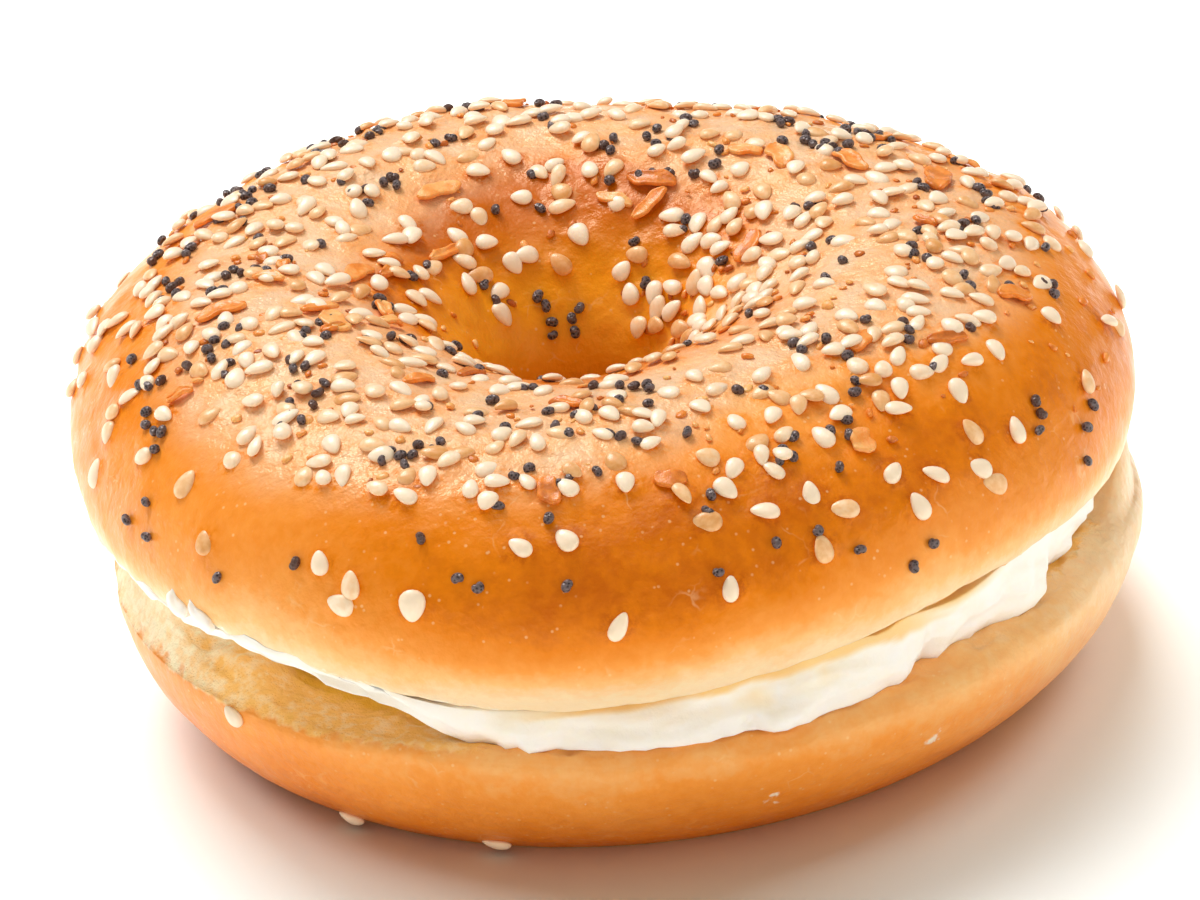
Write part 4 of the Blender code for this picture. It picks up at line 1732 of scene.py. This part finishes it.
@dataclass
class Sesame(Topping):
    """Sesame seeds: those of the solid in their places, and the smaller ones between them."""

    finish: SesameFinish = SesameFinish()
    size: Size = (2.95, 2.0, 1.0)
    big_size: Size = (3.4, 2.8, 1.2)
    big_place: tuple[int, int, int] = (-110, 18, 180)
    rise: float = 0.24
    taper: float = 0.27
    solid_count: int = 154
    solid_spacing: float = 3.7
    solid_draw: int = 11
    solid_climbs: Range = (4.0, 156.0)
    more_count: int = 470
    more_spacing: float = 1.6
    more_draw: int = 5
    more_climbs: Range = (8.0, 162.0)
    heaped: Bump = Bump(1.0, 12.0, 75.0)
    clean_front: Stretch = Stretch(-90.0, 66.0, 8.0)
    toasted_share: float = 0.24
    stray_tone: float = 0.3
    stray: tuple[tuple[float, float, float], ...] = (
        (-138.6, -8.0, 60.0), (-129.5, -47.0, 80.0), (-109.5, -47.0, 90.0),
    )
    flank_seeds: tuple[tuple[int, int, int], ...] = (
        (-118, 15, 80), (-117, 22, 10), (-121, 27, 20), (-137, 21, 30), (-144, 34, 0), (-164, 13, 20),
        (-99, 38, 60), (-94, 40, 40), (-89, 10, -30), (-77, 17, -20), (-78, 40, 80), (-71, 39, 70),
        (-66, 22, 0), (-65, 40, -10), (-62, 32, 70), (-54, 37, -60), (-53, 24, 10), (-49, 31, 50),
        (-43, 26, 50), (-42, 19, 60), (-41, 37, 10), (-35, 30, -30),
    )

    def share(self, angle: float, climb: float) -> float:
        """How thickly the solid's seeds lie.

        Args:
            angle: Round the ring, in radians.
            climb: Over the crust, in degrees.

        Returns:
            The share, from 0 to 1.
        """
        if climb > CREST:
            return self.down_hole(angle, climb, (128.0, 156.0))
        share = 0.03 + 0.22 * ramp(climb, 12.0, 34.0) + 0.75 * ramp(climb, 40.0, 62.0)
        clean = self.clean_front.at(angle) * (1.0 - ramp(climb, 44.0, 52.0))
        return float(share * ramp(climb, 4.0, 8.0) * (1.0 - clean))

    def scatter(self, taken: Sequence[tuple[float, ...]]) -> list[tuple[float, float, float]]:
        """Draws the places of the solid's scattered seeds, by the same draws as there.

        Args:
            taken: The places that are taken, their angle and climb first.

        Returns:
            Each seed's angle, climb and turn.
        """
        draw = random.Random(self.solid_draw)
        spots = Scatter(self.form)
        for place in taken:
            spots.take(place[0], place[1])
        places: list[tuple[float, float, float]] = []
        while len(places) < self.solid_count:
            angle, climb = anywhere(draw, self.solid_climbs)
            turn = draw.uniform(0.0, 360.0)
            if draw.random() > self.share(math.radians(angle), climb):
                continue
            if spots.free(angle, climb, self.solid_spacing):
                spots.take(angle, climb)
                places.append((angle, climb, turn))
        return places

    def places(self, flakes: Sequence[tuple[float, ...]]) -> list[Place]:
        """Where every seed lies, the solid's first.

        Args:
            flakes: The places that onion flakes take.

        Returns:
            The places.
        """
        draw = random.Random(self.more_draw)
        solid = [*self.flank_seeds, *self.scatter([*self.flank_seeds, *flakes, self.big_place])]
        placed = [self.varied(draw, place, self.size) for place in solid]
        placed.append(self.varied(draw, self.big_place, self.big_size))
        spots = Scatter(self.form)
        for place in placed:
            spots.take(place.angle, place.climb)
        for flake in flakes:
            spots.take_all(flake)
        while len(placed) < len(solid) + 1 + self.more_count:
            angle, climb = anywhere(draw, self.more_climbs)
            if draw.random() > self.crowd(math.radians(angle), climb):
                continue
            if spots.free(angle, climb, self.more_spacing):
                spots.take(angle, climb)
                size = tuple(side * draw.uniform(0.84, 1.0) for side in self.size)
                place = (angle, climb, draw.uniform(0.0, 360.0))
                placed.append(self.varied(draw, place, size, draw.uniform(0.1, 0.5)))
        strays = [self.varied(draw, place, self.size) for place in self.stray]
        return placed + [replace(place, half=Half.BOTTOM, tone=self.stray_tone) for place in strays]

    def crowd(self, angle: float, climb: float) -> float:
        """How thickly the smaller seeds lie: as the solid's, and in heaps on the hole's right slope."""
        heap = self.heaped.at(angle) * band(climb, (100.0, 114.0), (148.0, 164.0))
        return max(0.8 * self.share(angle, climb), float(heap))

    def varied(
        self, draw: random.Random, place: Sequence[float], size: Sequence[float], lift: float = 0.0
    ) -> Place:
        """A seed's place with its own small differences.

        Args:
            draw: The draws.
            place: Its angle, climb and turn.
            size: Its length, width and thickness.
            lift: How much higher than the solid's seeds it lies.

        Returns:
            The place.
        """
        toasted = draw.random() < self.toasted_share
        tone = draw.uniform(0.70, 1.0) if toasted else draw.uniform(0.0, 0.66)
        own = tuple(side * draw.uniform(0.86, 1.08) for side in size)
        lean, pitch = draw.gauss(0.0, 9.0), draw.gauss(0.0, 6.0)
        return Place(place[0], place[1], place[2], own, self.rise + lift, tone, lean, pitch)

    def shape(self) -> tuple[Array, list[tuple[int, ...]], Array]:
        """One seed: a plump drop, blunt at one end and pointed at the other.

        Returns:
            Its points, its faces, and how near each point is to its rim.
        """
        points, faces = round_body(14, 10)
        along, across, high = points.T
        slim = 1.0 - self.taper * along
        domed = np.where(high > 0.0, 1.05, 0.85)
        curve = -0.10 * along**2
        shaped = np.stack([0.5 * along, 0.5 * across * slim, 0.5 * high * slim * domed + curve], -1)
        rim = 1.0 - ramp(np.abs(high), 0.05, 0.45)
        return shaped, faces, rim

    def build(self, places: Sequence[Place]) -> Piece:
        """Builds and dresses the seeds.

        Args:
            places: Where they lie.

        Returns:
            The piece.
        """
        points, faces, rim = self.shape()
        piece = self.join("sesame_seeds", points, faces, rim, places)
        return hand_in(piece, self.finish.material(), None)


@dataclass
class Poppy(Topping):
    """Poppy seeds, most of them in little groups."""

    finish: PoppyFinish = PoppyFinish()
    size: Size = (1.4, 1.12, 1.0)
    rise: float = 0.36
    groups: int = 172
    group_sizes: tuple[int, ...] = (1, 1, 1, 1, 2, 2, 3)
    spacing: float = 1.15
    draw_seed: int = 8
    climbs: Range = (8.0, 150.0)
    tries: int = 12
    clean_front: Stretch = Stretch(-90.0, 62.0, 8.0)
    singles: tuple[tuple[int, int, int], ...] = (
        (-134, 12, 1), (-124, 25, 1), (-149, 22, 1), (-152, 12, 1), (-105, 27, 2), (-94, 25, 1),
        (-78, 23, 1), (-71, 28, 1), (-62, 18, 1), (-56, 6, 1), (-53, 11, 1), (-26, 5, 1),
        (-32, 30, 3), (-22, 16, 2), (-110, 39, 1), (-96, 47, 1), (-77, 48, 2), (-65, 54, 3),
        (-60, 45, 1), (-66, 28, 1), (107, 157, 3), (93, 159, 3), (131, 141, 2), (110, 148, 1),
        (66, 134, 1), (54, 145, 1), (50, 128, 1), (23, 132, 1), (-147, 12, 1), (-102, 51, 1),
    )

    def share(self, angle: float, climb: float) -> float:
        """How thickly the groups lie.

        Args:
            angle: Round the ring, in radians.
            climb: Over the crust, in degrees.

        Returns:
            The share, from 0 to 1.
        """
        if climb > CREST:
            return self.down_hole(angle, climb, (122.0, 150.0))
        clean = self.clean_front.at(angle) * (1.0 - ramp(climb, 52.0, 60.0))
        return float((0.06 + 0.94 * ramp(climb, 30.0, 62.0)) * ramp(climb, 6.0, 12.0) * (1.0 - clean))

    def places(self) -> list[Place]:
        """Where every seed lies, group by group.

        Returns:
            The places.
        """
        draw = random.Random(self.draw_seed)
        centres = list(self.singles)
        while len(centres) < len(self.singles) + self.groups:
            angle, climb = anywhere(draw, self.climbs)
            if draw.random() < self.share(math.radians(angle), climb):
                centres.append((angle, climb, draw.choice(self.group_sizes)))
        spots = Scatter(self.form)
        placed: list[Place] = []
        for angle, climb, count in centres:
            for _ in range(count):
                placed.extend(self.one_more(draw, spots, angle, climb, 0.0 if count == 1 else 1.0))
        return placed

    def one_more(
        self, draw: random.Random, spots: Scatter, angle: float, climb: float, spread: float
    ) -> list[Place]:
        """One seed of a group, near its middle, or none where the group is full.

        Args:
            draw: The draws.
            spots: The places taken.
            angle: The group's angle.
            climb: The group's climb.
            spread: How far from its middle a seed may lie, from 0 for not at all.

        Returns:
            The seed's place, or nothing.
        """
        for attempt in range(self.tries):
            reach = spread * (1.2 + 0.12 * attempt)
            near_angle, near_climb = angle + draw.gauss(0.0, reach), climb + draw.gauss(0.0, 1.8 * reach)
            if spots.free(near_angle, near_climb, self.spacing):
                spots.take(near_angle, near_climb)
                size = tuple(side * draw.uniform(0.85, 1.1) for side in self.size)
                turn, lean = draw.uniform(0.0, 360.0), draw.uniform(-40.0, 40.0)
                return [Place(near_angle, near_climb, turn, size, self.rise, draw.random(), lean)]
        return []

    def build(self) -> Piece:
        """Builds and dresses the seeds.

        Returns:
            The piece.
        """
        points, faces = round_body(12, 8)
        along, across, high = points.T
        dent = 0.35 * np.exp(-((along / 0.4) ** 2)) * (across > 0.0)
        shaped = 0.5 * np.stack([along, across * (1.0 - dent), high], -1)
        piece = self.join("poppy_seeds", shaped, faces, np.zeros(len(points)), self.places())
        return hand_in(piece, self.finish.material(), None)


@dataclass
class Curls(Topping):
    """Small curls of cheese, pushed up over the top half's cut edge at the left."""

    finish: CheeseFinish
    lumps: Layer = Layer(0.11, 71, 0.6)
    thinness: float = 0.8
    places: tuple[Place, ...] = (
        Place(-141.4, -7.5, 15.0, (3.0, 2.6, 1.4), 0.15, 0.0),
        Place(-137.4, -8.0, 40.0, (3.9, 2.0, 1.2), 0.15, 0.0),
    )

    def build(self) -> Piece:
        """Builds and dresses the curls.

        Returns:
            The piece.
        """
        points, faces = round_body(28, 20)
        along, across, high = points.T
        slim = 1.0 - 0.45 * along
        wave = 0.25 * np.sin(2.5 * along)
        shaped = 0.5 * np.stack([along, across * slim + wave, high * slim - 0.4 * along**2], -1)
        shaped += unit(points) * self.lumps.at(points)[:, None]
        piece = self.join("cheese_curls", shaped, faces, np.zeros(len(points)), self.places)
        set_attribute(piece, "thin", np.full(len(piece.data.vertices), self.thinness))
        return hand_in(piece, self.finish.material(), None)


@dataclass
class Granules(Topping):
    """Fine crumbs of toasted onion and seed husk between the seeds."""

    finish: OnionFinish
    count: int = 420
    spacing: float = 0.9
    rise: float = 0.14
    draw_seed: int = 13
    climbs: Range = (20.0, 165.0)
    lumps: Layer = Layer(0.35, 81, 0.7)

    def places(self, seeds: Sesame) -> list[Place]:
        """Where they lie: wherever the seeds lie thickly.

        Args:
            seeds: The seeds that they lie between.

        Returns:
            The places.
        """
        draw = random.Random(self.draw_seed)
        spots = Scatter(self.form)
        placed: list[Place] = []
        while len(placed) < self.count:
            angle, climb = anywhere(draw, self.climbs)
            wanted = draw.random() < seeds.crowd(math.radians(angle), climb)
            if wanted and spots.free(angle, climb, self.spacing):
                spots.take(angle, climb)
                length = draw.uniform(0.5, 1.3)
                size = (length, length * draw.uniform(0.5, 0.9), length * draw.uniform(0.35, 0.6))
                turn, lean = draw.uniform(0.0, 360.0), draw.gauss(0.0, 12.0)
                placed.append(Place(angle, climb, turn, size, self.rise, draw.uniform(0.0, 0.9), lean))
        return placed

    def build(self, seeds: Sesame) -> Piece:
        """Builds and dresses the crumbs.

        Args:
            seeds: The seeds that they lie between.

        Returns:
            The piece.
        """
        points, faces = round_body(9, 7)
        shaped = 0.5 * points * (1.0 + self.lumps.at(points))[:, None]
        piece = self.join("onion_crumbs", shaped, faces, np.zeros(len(points)), self.places(seeds))
        return hand_in(piece, self.finish.material(), None)


@dataclass
class Onion:
    """Toasted onion flakes: thin curled plates, with ragged outlines."""

    form: TopForm
    finish: OnionFinish = OnionFinish()
    along: int = 12
    across: int = 7
    thickness: float = 0.5
    flakes: tuple[tuple[float, float, float, float, float], ...] = (
        (-156, 100, 80, 6.0, 2.6), (-171, 74, 0, 5.4, 2.6), (98, 66, 0, 3.8, 2.4),
        (68, 115, 90, 5.5, 2.2), (21, 72, 70, 6.4, 2.8), (44, 96, 60, 5.0, 2.4),
        (33, 86, 95, 5.0, 2.2), (20, 125, 30, 4.5, 2.2), (-15, 58, 40, 4.0, 2.2),
        (123, 109, 90, 5.4, 2.0), (-96, 56, 20, 3.6, 2.2), (-81, 56, 80, 3.4, 2.2),
        (-55, 50, 0, 3.2, 2.4), (150, 62, 40, 5.2, 2.4), (172, 112, 60, 4.8, 2.2),
    )
    shreds: int = 24
    shred_draw: int = 3
    shred_climbs: Range = (52.0, 128.0)
    plate_draw: int = 4

    def all_flakes(self) -> list[tuple[float, float, float, float, float]]:
        """The solid's flakes, and smaller shreds between them.

        Returns:
            Each one's angle, climb, turn, length and width.
        """
        draw = random.Random(self.shred_draw)
        made = list(self.flakes)
        for _ in range(self.shreds):
            turn_length_width = ((0.0, 180.0), (2.4, 5.0), (1.0, 1.8))
            place = anywhere(draw, self.shred_climbs)
            made.append((*place, *(draw.uniform(*limits) for limits in turn_length_width)))
        return made

    def plate(self, draw: random.Random, flake: Sequence[float]) -> Array:
        """One flake's points, as a sheet that follows the crust.

        Args:
            draw: The draws.
            flake: Its angle, climb, turn, length and width.

        Returns:
            The points, row by row.
        """
        angle, climb, turn, length, width = flake
        t, s = np.meshgrid(
            np.linspace(-1.0, 1.0, self.along), np.linspace(-1.0, 1.0, self.across), indexing="ij"
        )
        wave = 0.22 * np.sin(3.1 * t + draw.uniform(0.0, 6.0)) * np.sign(s)
        ragged = 1.0 + wave + 0.12 * np.sin(7.0 * t + draw.uniform(0.0, 6.0))
        narrow = np.sqrt(np.maximum(1.0 - np.abs(t) ** 2.6, 0.05)) * ragged
        x, y = 0.5 * length * t, 0.5 * width * s * narrow
        curl = draw.uniform(0.0, 0.35) * s**2 - draw.uniform(0.0, 0.25) * t**2
        z = 0.46 + curl + 0.10 * np.sin(4.0 * t + draw.uniform(0.0, 6.0))
        centre = self.form.point(math.radians(angle), climb)
        sheet = np.stack([x.ravel(), y.ravel(), z.ravel()], -1)
        return centre + sheet @ axes(self.form, angle, climb, turn)

    def build(self) -> Piece:
        """Builds and dresses the flakes.

        Returns:
            The piece.
        """
        draw = random.Random(self.plate_draw)
        flakes = self.all_flakes()
        sheets = np.concatenate([self.plate(draw, flake) for flake in flakes])
        faces = []
        cells = itertools.product(range(len(flakes)), range(self.along - 1), range(self.across - 1))
        for index, row, column in cells:
            first = index * self.along * self.across + row * self.across + column
            faces.append((first, first + self.across, first + self.across + 1, first + 1))
        mesh = bpy.data.meshes.new("onion_flakes")
        mesh.from_pydata((sheets * MM).tolist(), [], faces)
        piece = bpy.data.objects.new("onion_flakes", mesh)
        bpy.context.scene.collection.objects.link(piece)
        tones = np.repeat([draw.uniform(0.15, 0.75) for _ in flakes], self.along * self.across)
        set_attribute(piece, "tone", tones)
        thick = piece.modifiers.new("thickness", "SOLIDIFY")
        thick.thickness = self.thickness * MM
        thick.offset = 0.0
        soft = piece.modifiers.new("softness", "SUBSURF")
        soft.levels = 1
        soft.render_levels = 1
        mesh.shade_smooth()
        return hand_in(piece, self.finish.material(), None)


@dataclass(frozen=True)
class PhotoCamera:
    """The camera of the photograph: how high it stands, how it rolls, and its framing."""

    elevation: float = 25.966
    roll: float = 4.271
    distance: float = 1089.0
    target_height: float = 22.0
    pixels_to_a_millimetre: float = 9.75
    middle_column: float = 610.556
    middle_row: float = 451.832
    photo_width: float = 1200.0
    photo_height: float = 900.0
    sensor: float = 36.0
    sight: float = 10_000.0

    def place(self) -> bpy.types.Object:
        """Makes the scene's camera.

        Returns:
            The camera.
        """
        data = bpy.data.cameras.new("photo_camera")
        camera = bpy.data.objects.new("photo_camera", data)
        bpy.context.scene.collection.objects.link(camera)
        high, roll = math.radians(self.elevation), math.radians(self.roll)
        back = Vector((0.0, -math.cos(high), math.sin(high)))
        level = Vector((1.0, 0.0, 0.0))
        upright = back.cross(level)
        right = level * math.cos(roll) - upright * math.sin(roll)
        up = level * math.sin(roll) + upright * math.cos(roll)
        turned = Matrix((right, up, back)).transposed().to_4x4()
        target = Vector((0.0, 0.0, self.target_height * MM))
        camera.matrix_world = Matrix.Translation(target + back * self.distance * MM) @ turned
        data.sensor_width = self.sensor
        data.lens = self.pixels_to_a_millimetre * self.distance * self.sensor / self.photo_width
        data.shift_x = (0.5 * self.photo_width - self.middle_column) / self.photo_width
        data.shift_y = (self.middle_row - 0.5 * self.photo_height) / self.photo_width
        data.clip_end = self.sight * MM
        bpy.context.scene.camera = camera
        return camera


class Side(Enum):
    """Where a light of the studio stands, as its angle round the ring and its height above level."""

    KEY = (122.0, 55.0)
    TOP = (60.0, 82.0)
    LEFT = (-170.0, 14.0)
    RIGHT = (-18.0, 9.0)
    FRONT = (-90.0, 11.0)
    BACK = (105.0, 50.0)
    BACK_LEFT = (150.0, 40.0)
    BACK_RIGHT = (40.0, 40.0)


class Lit(Enum):
    """What a light falls on, so that the floor keeps one soft shadow."""

    SANDWICH = "sandwich"
    FLOOR = "floor"


@dataclass(frozen=True)
class Lamp:
    """A soft square light: where it stands, its side in millimetres, its watts and its colour."""

    side: Side
    size: float
    power: float
    color: Color
    lit: Lit = Lit.SANDWICH
    glossy: bool = True


@dataclass(frozen=True)
class Studio:
    """A pale floor and soft light: a key from behind on the left, and weaker ones all round."""

    distance: float = 1100.0
    lamps: tuple[Lamp, ...] = (
        Lamp(Side.KEY, 420.0, 10.0, (1.0, 0.99, 0.98)),
        Lamp(Side.TOP, 500.0, 1.9, (1.0, 0.99, 0.98)),
        Lamp(Side.LEFT, 800.0, 1.8, (1.0, 0.95, 0.88)),
        Lamp(Side.RIGHT, 800.0, 3.7, (1.0, 0.95, 0.88)),
        Lamp(Side.FRONT, 900.0, 4.5, (1.0, 0.88, 0.74), glossy=False),
        Lamp(Side.BACK, 800.0, 22.0, (1.0, 1.0, 1.0), lit=Lit.FLOOR),
        Lamp(Side.BACK_LEFT, 450.0, 5.5, (1.0, 1.0, 1.0), lit=Lit.FLOOR),
        Lamp(Side.BACK_RIGHT, 450.0, 4.0, (1.0, 1.0, 1.0), lit=Lit.FLOOR),
    )
    sky: Color = (1.0, 0.94, 0.81)
    sky_strength: float = 0.27
    floor_white: Color = (0.94, 0.96, 0.94)
    floor_side: float = 8000.0

    def light(self, lamp: Lamp, lit: dict[Lit, bpy.types.Collection]) -> bpy.types.Object:
        """Stands a light in its place, facing the sandwich.

        Args:
            lamp: The light.
            lit: What each kind of light falls on.

        Returns:
            The light's object.
        """
        angle, height = (math.radians(value) for value in lamp.side.value)
        level = math.cos(height)
        way = Vector((level * math.cos(angle), level * math.sin(angle), math.sin(height)))
        data = bpy.data.lights.new(lamp.side.name.lower() + "_light", "AREA")
        data.size = lamp.size * MM
        data.energy = lamp.power
        data.color = lamp.color
        light = bpy.data.objects.new(data.name, data)
        light.location = way * self.distance * MM
        light.rotation_euler = way.to_track_quat("Z", "Y").to_euler()
        light.visible_glossy = lamp.glossy
        light.light_linking.receiver_collection = lit[lamp.lit]
        bpy.context.scene.collection.objects.link(light)
        return light

    def floor(self) -> bpy.types.Object:
        """Lays the pale floor, which isn't part of the sandwich.

        Returns:
            The floor.
        """
        bpy.ops.mesh.primitive_plane_add(size=self.floor_side * MM)
        floor = bpy.context.object
        floor.name = "floor"
        recipe = Recipe("pale_floor")
        normal = recipe.relief(recipe.noise(3.0, 2.0), 0.02)
        floor.data.materials.append(recipe.finish(self.floor_white, 0.6, normal, Specular_IOR_Level=0.2))
        return floor

    def sky_light(self) -> None:
        """A warm, even sky."""
        world = bpy.data.worlds.new("studio")
        world.use_nodes = True
        background = world.node_tree.nodes["Background"]
        background.inputs["Color"].default_value = (*self.sky, 1.0)
        background.inputs["Strength"].default_value = self.sky_strength
        bpy.context.scene.world = world

    def build(self, pieces: Sequence[Piece]) -> None:
        """Sets the floor and the lights, and shows colours as they are.

        Args:
            pieces: The sandwich's pieces.
        """
        lit = {kind: bpy.data.collections.new(kind.value + "_light") for kind in Lit}
        for piece in pieces:
            lit[Lit.SANDWICH].objects.link(piece)
        lit[Lit.FLOOR].objects.link(self.floor())
        self.sky_light()
        for lamp in self.lamps:
            self.light(lamp, lit)
        bpy.context.scene.view_settings.view_transform = "Standard"


def main() -> None:
    """Builds the sandwich from the ground up."""
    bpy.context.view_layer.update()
    PhotoCamera().place()
    top_form, bottom_form = TopForm(), BottomForm()
    cheese = CheeseFinish()
    onion, sesame = Onion(top_form), Sesame(top_form, bottom_form)
    seeds = sesame.places(onion.flakes)
    top = TopHalf(top_form, BreadFinish("golden_bread"))
    pieces = [
        BottomHalf(bottom_form, BreadFinish("pale_bread")).build(),
        CheeseLayer(CheeseForm(top_form, bottom_form), cheese, top).build(),
        top.build([seed for seed in seeds if seed.half is Half.TOP]),
        Curls(top_form, bottom_form, cheese).build(),
        onion.build(),
        sesame.build(seeds),
        Granules(top_form, bottom_form, OnionFinish("onion_crumbs")).build(sesame),
        Poppy(top_form, bottom_form).build(),
    ]
    for piece in pieces:
        LOG.info("%s: %d points", piece.name, len(piece.data.vertices))
    Studio().build(pieces)


if __name__ == "__main__":
    logging.basicConfig(level=logging.INFO, format="%(message)s")
    main()
